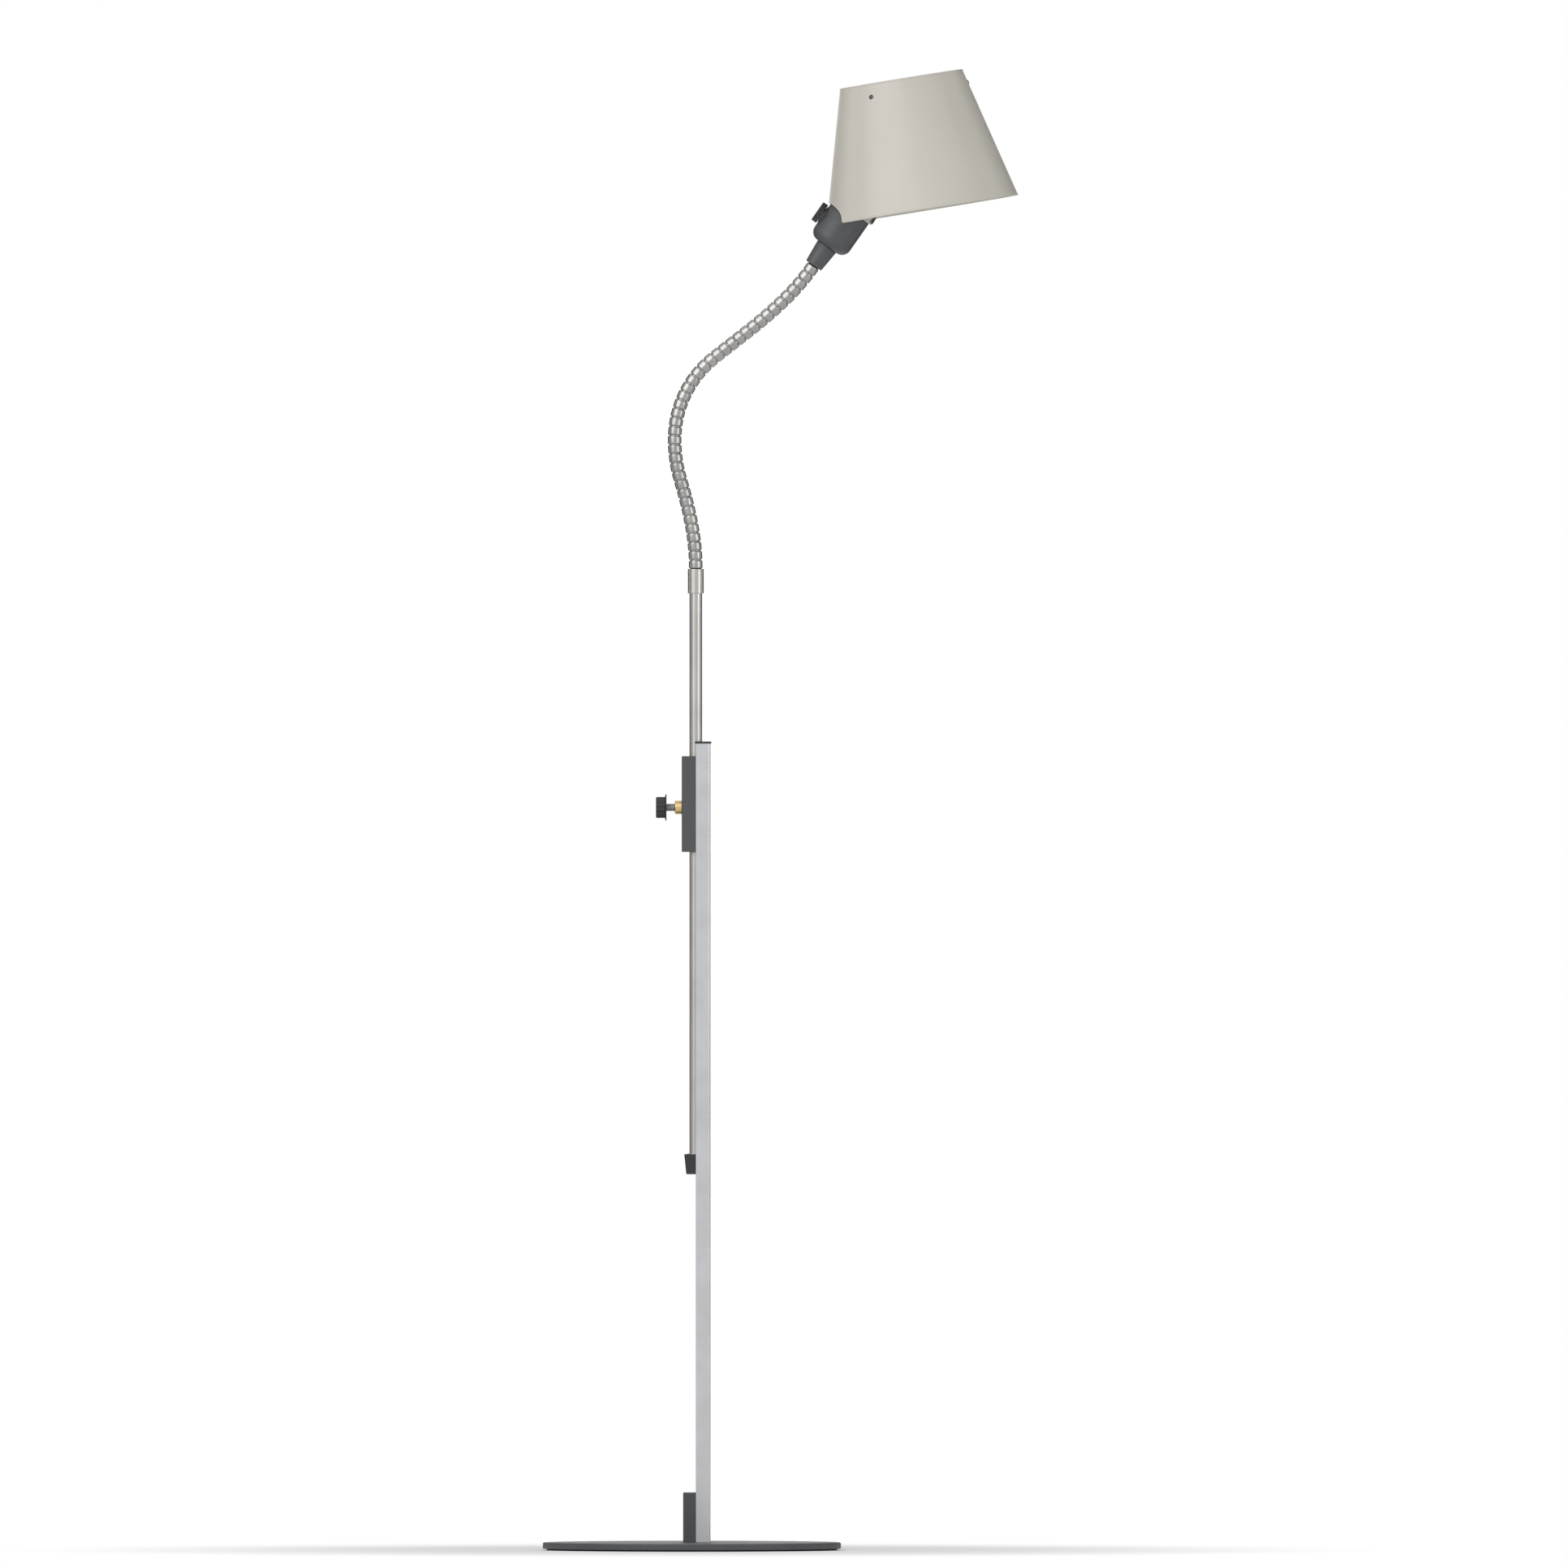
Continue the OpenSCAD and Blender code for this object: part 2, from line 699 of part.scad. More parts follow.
module holder_cup() {
  color("#2b2d30") in_head() difference() {
    union() {
      rotate_extrude() {
        square([cup_r - cup_round, cup_h]);
        translate([0, cup_round]) square([cup_r, cup_h - cup_round]);
        translate([cup_r - cup_round, cup_round]) circle(r = cup_round);
      }
      to_switch() cylinder(h = cup_r + boss_pad_out, r = boss_pad_r);
    }
    rotate_extrude() {
      translate([0, cup_wall]) square([cup_r - cup_round, cup_h]);
      translate([0, cup_round]) square([cup_in, cup_h]);
      translate([cup_r - cup_round, cup_round]) circle(r = cup_round - cup_wall);
    }
    translate([0, 0, -over]) cylinder(h = 2 * cup_wall, r = nipple_r + fit);
    to_switch() cylinder(h = 2 * cup_r, r = thread_r + fit);
  }
}

// Body of the rotary switch, with its threaded neck through the cup's wall
module switch_body() {
  color("#1f2022") in_head() difference() {
    union() {
      translate([-cup_in + 2.6, -switch_half, switch_low])
        cube([switch_deep, 2 * switch_half, holder_z - slide_gap - switch_low]);
      to_switch() cylinder(h = cup_r + boss_pad_out + bezel_t, r = thread_r);
    }
    to_switch() cylinder(h = 2 * cup_r, r = shaft_r + run_fit);
  }
}

module switch_bezel() {
  color("#c9ccd0") in_head() to_switch() translate([0, 0, cup_r + boss_pad_out])
    tube(bezel_t, bezel_r, thread_r + fit);
}

module switch_shaft() {
  color("#a9acb0") in_head() to_switch() translate([0, 0, 1]) cylinder(h = knob_out - 2, r = shaft_r);
}

module switch_knob() {
  color("#1f2022") in_head() to_switch() difference() {
    union() {
      translate([0, 0, knob_in]) cylinder(h = switch_t - 1, r = switch_d / 2);
      translate([0, 0, knob_out - 1]) cylinder(h = 1, r1 = switch_d / 2, r2 = switch_d / 2 - 1);
    }
    translate([0, 0, knob_in - over]) cylinder(h = bezel_t + over, r = bezel_r + 2 * slide_gap);
    cylinder(h = knob_out - 1 + fit, r = shaft_r + fit);
    for (i = [0 : switch_notches - 1]) {
      rotate([0, 0, 360 * i / switch_notches]) translate([switch_d / 2 + 0.4, 0, knob_in - over])
        cylinder(h = switch_t + 2 * over, r = 0.9, $fn = 16);
    }
  }
}

module lampholder() {
  color("#e9e6dc") in_head() translate([0, 0, holder_z]) difference() {
    cylinder(h = holder_h, r = holder_r);
    translate([0, 0, shell_z - holder_z]) cylinder(h = holder_h, r = shell_r + fit);
    translate([0, 0, flare_z - holder_z + over])
      cylinder(h = holder_z + holder_h - flare_z, r1 = shell_r, r2 = shell_r + holder_mouth_flare);
    translate([0, 0, -over]) cylinder(h = holder_h, r = 2);
  }
}

module screw_shell() {
  color("#c7b27a") in_head() translate([0, 0, shell_z + fit]) difference() {
    cylinder(h = shell_len, r = shell_r);
    translate([0, 0, shell_wall]) cylinder(h = shell_len, r = shell_r - shell_wall);
    translate([0, 0, -over]) cylinder(h = 4 * over, r = 5);
  }
}

module centre_contact() {
  color("#c7b27a") in_head() translate([0, 0, shell_z]) {
    translate([0, 0, -3]) cylinder(h = 3 + over, r = 2 - fit);
    translate([0, 0, fit]) cylinder(h = 1.2, r = 4);
  }
}

module cup_ring() {
  edge = 1.5;
  color("#c9ccd0") in_head() translate([0, 0, ring_z]) difference() {
    rotate_extrude() polygon([
      [0, 0], [ring_d / 2 - edge, 0], [ring_d / 2, edge], [ring_d / 2, ring_h - 0.8],
      [ring_d / 2 - 0.8, ring_h], [0, ring_h]
    ]);
    translate([0, 0, -over]) cylinder(h = ring_h + 2 * over, r = holder_r + fit);
  }
}

module lock_ring() {
  color("#2b2d30") in_head() translate([0, 0, lock_z]) tube(lock_h, holder_r + 3.5, holder_r + fit);
}

module bulb_cap() {
  color("#c9ccd0") in_head() {
    translate([0, 0, cap_z]) cylinder(h = cap_len, r = cap_r);
    translate([0, 0, shell_z + 1.2 + 2 * fit]) cylinder(h = cap_z - shell_z, r = 4);
  }
}

// Outline of the glass, drawn in by a wall
module glass_outline(wall) {
  steps = 12;
  flare = [for (i = [0 : steps]) [
    bulb_flare(i / steps) - wall, glass_z + wall + (bulb_centre - glass_z - wall) * i / steps
  ]];
  dome = [for (i = [1 : steps]) [
    (bulb_r - wall) * cos(90 * i / steps), bulb_centre + (bulb_r - wall) * sin(90 * i / steps)
  ]];
  polygon(concat([[0, glass_z + wall]], flare, dome));
}

module bulb_glass() {
  color("#f4f2ea") in_head() rotate_extrude() difference() {
    glass_outline(0);
    glass_outline(glass_wall);
  }
}

// Arch in the rim, half an ellipse, cut through the shade's near wall
module rim_arch() {
  steps = 24;
  arch = [for (i = [0 : steps]) [notch_w / 2 * cos(180 * i / steps), notch_h * sin(180 * i / steps)]];
  translate([-mouth_r - over, 0, 0]) rotate([90, 0, 90])
    linear_extrude(mouth_r) polygon(concat([[-notch_w / 2, -over], [notch_w / 2, -over]], arch));
}

module rivet_places() {
  for (turn = SPIDER_ANGLES) {
    rotate([0, 0, turn]) translate([shade_r(rivet_z), 0, rivet_z]) rotate([0, 90 - cone_angle, 0]) children();
  }
}

module shade() {
  color("#efe9dc") in_shade() difference() {
    cylinder(h = shade_h, r1 = mouth_r, r2 = top_r, $fn = 128);
    slope_wall = shade_wall / cos(cone_angle);
    translate([0, 0, -over]) cylinder(
      h = shade_h + 2 * over, r1 = shade_r(-over) - slope_wall, r2 = shade_r(shade_h + over) - slope_wall, $fn = 128
    );
    rim_arch();
    rivet_places() translate([0, 0, -2 * shade_wall]) cylinder(h = 4 * shade_wall, r = rivet_shank_r + fit);
  }
}

// Sideways direction of a line between two points
function across(a, b) = [a[1] - b[1], b[0] - a[0]] / norm(b - a);

// Flat strip through three points of the XZ plane, bent at the middle one
module bent_strip(a, b, c) {
  side_1 = across(a, b);
  side_2 = across(b, c);
  half_1 = side_1 * strap_t / 2;
  half_2 = side_2 * strap_t / 2;
  mitre = (side_1 + side_2) * strap_t / (2 + 2 * side_1 * side_2);
  translate([0, strap_w / 2, 0]) rotate([90, 0, 0]) linear_extrude(strap_w)
    polygon([a + half_1, b + mitre, c + half_2, c - half_2, b - mitre, a - half_1]);
}

// Place of a point of the shade's frame in the holder's frame, in the XZ plane
function shade_to_head(x, z) = [
  shade_x + x * cos(shade_lean) - z * sin(shade_lean), shade_z + x * sin(shade_lean) + z * cos(shade_lean)
];

// Bracket: a plate clamped on the ring and a strip up the inside of the shade to its hub
module shade_bracket() {
  plate_r = holder_r + bracket_lip;
  hub_under = hub_z - strap_t - fit;
  foot = [-holder_r - bracket_lip * 0.7, plate_z + strap_t / 2];
  knee = shade_to_head(-shade_r(hub_under) + bracket_gap, hub_under - strap_t / 2);
  hub = shade_to_head(hub_r * 0.75, hub_under - strap_t / 2);
  color("#c9ccd0") in_head() difference() {
    union() {
      translate([0, 0, plate_z]) cylinder(h = strap_t, r = plate_r);
      bent_strip(foot, knee, hub);
    }
    translate([0, 0, plate_z - over]) cylinder(h = strap_t + 2 * over, r = holder_r + fit);
    translate([shade_x, 0, shade_z]) rotate([0, -shade_lean, 0]) translate([0, 0, hub_under - 2 * strap_t])
      cylinder(h = 4 * strap_t, r = hub_screw_r + fit);
  }
}

// Three arms on a hub, each bent up at its end into a tab that lies along the shade's wall
module shade_spider() {
  slope_wall = shade_wall / cos(cone_angle);
  reach = shade_r(hub_z - strap_t) - slope_wall - tab_gap - strap_t;
  color("#c9ccd0") in_shade() difference() {
    union() {
      translate([0, 0, hub_z - strap_t]) cylinder(h = strap_t, r = hub_r);
      for (turn = SPIDER_ANGLES) {
        rotate([0, 0, turn]) translate([0, -strap_w / 2, hub_z - strap_t]) {
          cube([reach + strap_t / 2, strap_w, strap_t]);
          translate([reach, 0, 0]) rotate([0, -cone_angle, 0]) cube([strap_t, strap_w, tab_h + strap_t]);
        }
      }
    }
    translate([0, 0, hub_z - 2 * strap_t]) cylinder(h = 3 * strap_t, r = hub_screw_r + fit);
    rivet_places() translate([0, 0, -tab_h / 2]) cylinder(h = tab_h, r = rivet_shank_r + fit);
  }
}

module hub_screw() {
  color("#a9acb0") in_shade() translate([0, 0, hub_z - 2 * strap_t - fit]) {
    translate([0, 0, -hub_head_t]) cylinder(h = hub_head_t, r = hub_head_r);
    translate([0, 0, -over]) cylinder(h = 2 * strap_t + hub_screw_up, r = hub_screw_r);
  }
}

module hub_nut() {
  color("#c9ccd0") in_shade() translate([0, 0, hub_z]) difference() {
    union() {
      cylinder(h = hub_nut_flange_t, r = hub_nut_flange_r);
      cylinder(h = hub_nut_h - over, r = hub_nut_r);
    }
    translate([0, 0, -over]) cylinder(h = hub_screw_up + over, r = hub_screw_r + fit);
  }
}

module shade_rivets() {
  tail_z = -shade_wall - tab_gap - strap_t - rivet_play - rivet_tail_t;
  color("#2b2d30") in_shade() rivet_places() {
    translate([0, 0, rivet_seat]) cylinder(h = rivet_head - rivet_seat, r1 = rivet_d / 2, r2 = rivet_d / 4);
    translate([0, 0, tail_z]) cylinder(h = rivet_head / 2 - tail_z, r = rivet_shank_r);
    translate([0, 0, tail_z]) cylinder(h = rivet_tail_t, r = rivet_tail_r);
  }
}

base_plate();
foot_pad();
foot_block();
base_screws();
upright_channel();
back_screws();
channel_cap();
clamp_block();
upper_bush();
lower_bush();
screw_boss();
brake_pad();
clamp_stud();
clamp_knob();
guide_shoe();
mast_rod();
rod_end_plug();
rod_clip();
neck_ferrule();
neck_adaptor();
neck_stretch(0);  // neck_1
neck_stretch(1);  // neck_2
neck_stretch(2);  // neck_3
neck_stretch(3);  // neck_4
neck_stretch(4);  // neck_5
neck_stretch(5);  // neck_6
neck_stretch(6);  // neck_7
neck_stretch(7);  // neck_8
neck_collar();
nipple();
nipple_nut();
holder_cup();
switch_body();
switch_bezel();
switch_shaft();
switch_knob();
lampholder();
screw_shell();
centre_contact();
cup_ring();
lock_ring();
bulb_cap();
bulb_glass();
shade();
shade_bracket();
shade_spider();
hub_screw();
hub_nut();
shade_rivets();
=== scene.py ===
"""Looks of an adjustable floor lamp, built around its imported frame."""
import math

import bmesh
import bpy
from mathutils import Matrix, Vector


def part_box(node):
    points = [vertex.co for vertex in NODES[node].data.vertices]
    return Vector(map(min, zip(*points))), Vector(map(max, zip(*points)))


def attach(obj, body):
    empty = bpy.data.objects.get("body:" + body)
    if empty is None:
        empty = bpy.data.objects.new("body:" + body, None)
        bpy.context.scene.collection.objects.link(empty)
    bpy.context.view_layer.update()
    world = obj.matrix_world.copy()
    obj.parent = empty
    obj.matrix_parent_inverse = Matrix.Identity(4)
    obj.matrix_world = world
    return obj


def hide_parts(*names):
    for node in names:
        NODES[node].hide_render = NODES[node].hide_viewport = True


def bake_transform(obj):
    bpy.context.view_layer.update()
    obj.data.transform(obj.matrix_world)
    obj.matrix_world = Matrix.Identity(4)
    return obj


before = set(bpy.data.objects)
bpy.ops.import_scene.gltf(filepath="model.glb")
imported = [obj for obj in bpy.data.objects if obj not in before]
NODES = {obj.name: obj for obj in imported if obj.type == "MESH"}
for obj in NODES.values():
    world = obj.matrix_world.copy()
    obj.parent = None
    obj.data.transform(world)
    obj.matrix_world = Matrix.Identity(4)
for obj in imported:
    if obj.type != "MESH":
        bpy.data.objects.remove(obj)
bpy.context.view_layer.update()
MM = 0.001
DEG = math.pi / 180

# Neck: its centreline is the frame's own, given by the bend of each stretch in degrees
NECK_BENDS = (-11, -6, 19, 25, 25, 0, -6, -11)
RIBS = 5
RIB_PITCH = 9.25 * MM
GROOVE_RADIUS = 5.7 * MM
COLLAR_HEIGHT = 23.7 * MM
NECK_RIBS = RIBS * len(NECK_BENDS)

# Shade: where its mouth's centre is from the cup's bottom, and how far it leans
SHADE_OUT = 58.3 * MM
SHADE_UP = 87.0 * MM
SHADE_LEAN = 44.2 * DEG
SHADE_WALL = 1.0 * MM
SHADE_TOP = 63.5 * MM
ARCH_WIDTH = 107.0 * MM
ARCH_HEIGHT = 23.0 * MM
RIVET_DROP = 13.0 * MM
SPIDER_ARMS = (0, 120, 240)
STRAP_WIDTH = 12.0 * MM
STRAP_THICK = 1.5 * MM
STRAP_EDGE = 0.3 * MM


def spin_y(angle):
    return Matrix.Rotation(angle, 4, "Y")


def shift(x=0.0, y=0.0, z=0.0):
    return Matrix.Translation((x, y, z))


def middle(node):
    low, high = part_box(node)
    return (low + high) / 2


def heading(ribs):
    """Angle of the neck from vertical, at a number of ribs from the ferrule."""
    whole = max(0, min(math.floor(ribs / RIBS), len(NECK_BENDS) - 1))
    share = max(ribs, 0) / RIBS - whole
    return (sum(NECK_BENDS[:whole]) + NECK_BENDS[whole] * share) * DEG


def neck_point(ribs):
    """Place of the neck's centreline at a number of ribs from the ferrule."""
    point = Vector((MAST_X, 0, FERRULE_TOP))
    if ribs <= 0:
        return point + Vector((0, 0, ribs * RIB_PITCH))
    whole = math.ceil(ribs) - 1
    for rib in range(whole + 1):
        part = 1 if rib < whole else ribs - whole
        turn = heading(rib + 0.5)
        point += part * RIB_PITCH * Vector((math.sin(turn), 0, math.cos(turn)))
    return point


# Axes of the rod, of the head (origin at the cup's bottom) and of the shade
MAST_X = middle("mast_rod").x
FERRULE_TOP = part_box("neck_ferrule")[1].z
HEAD_TILT = sum(NECK_BENDS) * DEG
ROD_PLACE = shift(x=MAST_X)
HEAD = Matrix.Translation(neck_point(NECK_RIBS)) @ spin_y(HEAD_TILT) @ shift(z=COLLAR_HEIGHT)
SHADE = HEAD @ shift(x=SHADE_OUT, z=SHADE_UP) @ spin_y(-SHADE_LEAN)
WORLD = Matrix.Identity(4)


def span(node, place):
    """Lowest and highest corner of a frame node in the axes of place."""
    back = place.inverted()
    points = [back @ v.co for v in NODES[node].data.vertices]
    low = Vector([min(p[i] for p in points) for i in range(3)])
    high = Vector([max(p[i] for p in points) for i in range(3)])
    return low, high


def facing_front(place, height):
    """Axes at a height of place whose +Z points along its -X."""
    return place @ shift(z=height) @ spin_y(-math.pi / 2)


# Camera: a long lens, level, at the drawing's own framing
LENS = 1600.0
SENSOR = 36.0
VIEW_WIDTH = 1603.6 * MM
VIEW_X = 94.2 * MM
VIEW_Z = 783.5 * MM


def make_camera():
    data = bpy.data.cameras.new("camera")
    data.lens = LENS
    data.sensor_width = SENSOR
    data.clip_end = 400
    camera = bpy.data.objects.new("camera", data)
    camera.location = (VIEW_X, -VIEW_WIDTH * LENS / SENSOR, VIEW_Z)
    camera.rotation_euler = (math.pi / 2, 0, 0)
    bpy.context.scene.collection.objects.link(camera)
    bpy.context.scene.camera = camera


make_camera()


class Shader:
    """A node material with short calls for the nodes that its finishes share."""

    def __init__(self, name, **sockets):
        self.material = bpy.data.materials.new(name)
        self.material.use_nodes = True
        self.tree = self.material.node_tree
        self.principled = self.tree.nodes["Principled BSDF"]
        for socket, value in sockets.items():
            self.principled.inputs[socket.replace("_", " ")].default_value = value

    def node(self, kind, **settings):
        made = self.tree.nodes.new("ShaderNode" + kind)
        for key, value in settings.items():
            setattr(made, key, value)
        return made

    def link(self, output, target):
        self.tree.links.new(output, target)

    def noise(self, scale, stretch=(1, 1, 1), coords="Object", detail=3.0):
        """Noise from 0 to 1, in the piece's own axes, stretched by a vector."""
        where = self.node("TexCoord")
        mapping = self.node("Mapping")
        mapping.inputs["Scale"].default_value = stretch
        noise = self.node("TexNoise")
        noise.inputs["Scale"].default_value = scale
        noise.inputs["Detail"].default_value = detail
        self.link(where.outputs[coords], mapping.inputs["Vector"])
        self.link(mapping.outputs["Vector"], noise.inputs["Vector"])
        return noise.outputs["Fac"]

    def between(self, fac, low, high):
        """Colour or number ramp over the noise's useful middle range."""
        spread = self.node("MapRange")
        spread.inputs["From Min"].default_value = 0.3
        spread.inputs["From Max"].default_value = 0.7
        self.link(fac, spread.inputs["Value"])
        if isinstance(low, (int, float)):
            spread.inputs["To Min"].default_value = low
            spread.inputs["To Max"].default_value = high
            return spread.outputs["Result"]
        mix = self.node("Mix", data_type="RGBA")
        mix.inputs["A"].default_value = (*low, 1)
        mix.inputs["B"].default_value = (*high, 1)
        self.link(spread.outputs["Result"], mix.inputs["Factor"])
        return mix.outputs["Result"]

    def colour(self, fac, low, high):
        self.link(self.between(fac, low, high), self.principled.inputs["Base Color"])

    def rough(self, fac, low, high):
        self.link(self.between(fac, low, high), self.principled.inputs["Roughness"])

    def bump(self, *layers):
        """Stacks bumps, each a (height, depth in metres) pair."""
        under = None
        for height, depth in layers:
            bump = self.node("Bump")
            bump.inputs["Strength"].default_value = 1.0
            bump.inputs["Distance"].default_value = depth
            self.link(height, bump.inputs["Height"])
            if under:
                self.link(under, bump.inputs["Normal"])
            under = bump.outputs["Normal"]
        self.link(under, self.principled.inputs["Normal"])


def tint(colour, share):
    return tuple(min(1.0, c * share) for c in colour)


def powder_coat(name, colour):
    """Satin powder coat: fine orange peel with a faint cloudiness."""
    s = Shader(name, Specular_IOR_Level=0.5)
    peel = s.noise(900, detail=2)
    grit = s.noise(4200, detail=1)
    s.colour(s.noise(14), tint(colour, 0.95), tint(colour, 1.06))
    s.rough(s.noise(60), 0.40, 0.52)
    s.bump((peel, 0.00006), (grit, 0.00002))
    return s.material


def brushed(name, colour, stretch, coords="UV", rough=(0.24, 0.38)):
    """Metal with fine parallel brush lines along the short axis of stretch."""
    s = Shader(name, Metallic=1.0)
    lines = s.noise(1.0, stretch, coords, detail=2)
    s.colour(s.noise(30), tint(colour, 0.93), tint(colour, 1.06))
    s.rough(lines, *rough)
    s.bump((lines, 0.000002))
    return s.material


def moulded(name, colour, rough=(0.42, 0.56), grain=1600, depth=0.00003):
    """Moulded plastic or rubber with a fine even texture."""
    s = Shader(name, Specular_IOR_Level=0.45)
    s.colour(s.noise(25), tint(colour, 0.88), tint(colour, 1.15))
    s.rough(s.noise(180), *rough)
    s.bump((s.noise(grain, detail=2), depth))
    return s.material


def enamel(name, colour, rough=(0.36, 0.46)):
    """Stoved enamel on spun metal: faint rings of the spinning under a soft gloss."""
    s = Shader(name, Coat_Weight=0.12, Coat_Roughness=0.22)
    rings = s.noise(1.0, (2, 2, 420), detail=1)
    s.colour(s.noise(9), tint(colour, 0.97), tint(colour, 1.02))
    s.rough(s.noise(40), *rough)
    s.bump((rings, 0.00003), (s.noise(700, detail=2), 0.00003))
    return s.material


def opal_glass(name, colour):
    """Opal bulb glass: soft light just under a smooth surface."""
    s = Shader(name, Subsurface_Weight=0.35)
    s.principled.inputs["Subsurface Radius"].default_value = (0.01, 0.01, 0.009)
    s.colour(s.noise(40), tint(colour, 0.98), tint(colour, 1.02))
    s.rough(s.noise(60), 0.20, 0.27)
    s.bump((s.noise(2500, detail=1), 0.000003))
    return s.material


# Stretches of the brush lines: along a piece, around it, or fine and even
ALONG = (900, 4, 1)
AROUND = (4, 900, 1)
EVENLY = (300, 300, 300)
NICKEL_TONE = (0.41, 0.40, 0.38)
BRASS_TONE = (0.62, 0.46, 0.22)
GRAPHITE = powder_coat("graphite_paint", (0.062, 0.064, 0.070))
ANODISED = brushed("anodised", (0.50, 0.51, 0.525), (900, 900, 3), "Object", (0.30, 0.42))
NICKEL_LONG = brushed("nickel_drawn", NICKEL_TONE, ALONG)
NICKEL_TURNED = brushed("nickel_turned", NICKEL_TONE, AROUND)
NECK_METAL = brushed("neck_metal", (0.34, 0.335, 0.325), AROUND, rough=(0.20, 0.32))
ZINC = brushed("zinc", (0.52, 0.53, 0.54), EVENLY, "Object", (0.28, 0.42))
BRASS = brushed("brass", BRASS_TONE, AROUND, rough=(0.22, 0.36))
BRASS_PLAIN = brushed("brass_plain", BRASS_TONE, EVENLY, "Object", (0.24, 0.38))
NICKEL_PLAIN = brushed("nickel_plain", NICKEL_TONE, EVENLY, "Object", (0.24, 0.36))
BLACK_PLASTIC = moulded("black_plastic", (0.022, 0.022, 0.024))
RUBBER = moulded("rubber", (0.030, 0.030, 0.031), (0.70, 0.85), 900, 0.00008)
NYLON = moulded("nylon", (0.74, 0.71, 0.64), (0.40, 0.50))
PORCELAIN = enamel("porcelain", (0.80, 0.78, 0.72), (0.14, 0.22))
SHADE_OUTSIDE = enamel("shade_outside", (0.56, 0.535, 0.475))
SHADE_INSIDE = enamel("shade_inside", (0.84, 0.83, 0.80), (0.40, 0.52))
BULB = opal_glass("opal_glass", (0.86, 0.85, 0.82))


def polar(radius, angle):
    return radius * math.cos(angle), radius * math.sin(angle)


# Outlines: lists of (x, y), or of (radius, height) for a turned piece
def rounded(corners, steps=5, closed=True):
    """Replaces each corner (x, y, radius) by an arc; a corner without radius stays sharp."""
    made = []
    count = len(corners)
    for i, corner in enumerate(corners):
        radius = corner[2] if len(corner) > 2 else 0
        here = Vector(corner[:2])
        if not radius or (not closed and i in (0, count - 1)):
            made.append(here)
            continue
        before = Vector(corners[i - 1][:2]) - here
        after = Vector(corners[(i + 1) % count][:2]) - here
        half = before.angle(after) / 2
        reach = min(radius / math.tan(half), before.length * 0.499, after.length * 0.499)
        radius = reach * math.tan(half)
        start = here + before.normalized() * reach
        end = here + after.normalized() * reach
        inwards = (before.normalized() + after.normalized()).normalized()
        centre = here + inwards * radius / math.sin(half)
        first = math.atan2(start.y - centre.y, start.x - centre.x)
        sweep = math.atan2(end.y - centre.y, end.x - centre.x) - first
        sweep = (sweep + math.pi) % (2 * math.pi) - math.pi
        for step in range(steps + 1):
            angle = first + sweep * step / steps
            made.append(centre + radius * Vector(polar(1, angle)))
    return made


def tube(inner, outer, low, high, inner_edge, outer_edge):
    """Profile of a tube or flat ring with rounded edges."""
    return rounded([
        (inner, low, inner_edge), (outer, low, outer_edge),
        (outer, high, outer_edge), (inner, high, inner_edge)
    ], 3)


def inset(outline, depth):
    """Moves a closed outline inwards; outlines run anticlockwise."""
    made = []
    count = len(outline)
    for i, here in enumerate(outline):
        before = (here - outline[i - 1]).normalized()
        after = (outline[(i + 1) % count] - here).normalized()
        side = Vector((-before.y - after.y, before.x + after.x))
        side.normalize()
        made.append(here + side * depth / max(0.5, side.dot(Vector((-after.y, after.x)))))
    return made


# Loops: rings of points at a height, which a loft skins
def level(outline, height):
    return [Vector((p.x, p.y, height)) for p in outline]


def circle(radius, height, count):
    angles = [2 * math.pi * i / count for i in range(count)]
    return [Vector((*polar(radius, a), height)) for a in angles]


def tip(height):
    return [Vector((0, 0, height))]


def rim(outline, top, edge, steps=5):
    """Loops of a round edge that draws an outline in at its top."""
    made = []
    for i in range(steps + 1):
        angle = math.pi / 2 * i / steps
        height = top - edge * (1 - math.sin(angle))
        made.append(level(inset(outline, edge * (1 - math.cos(angle))), height))
    return made


def dish(top, shape, count):
    """Loops of a dished face from (radius, depth) in millimetres, a radius of 0 at its middle."""
    return [circle(r * MM, top - d * MM, count) if r else tip(top - d * MM) for r, d in shape]


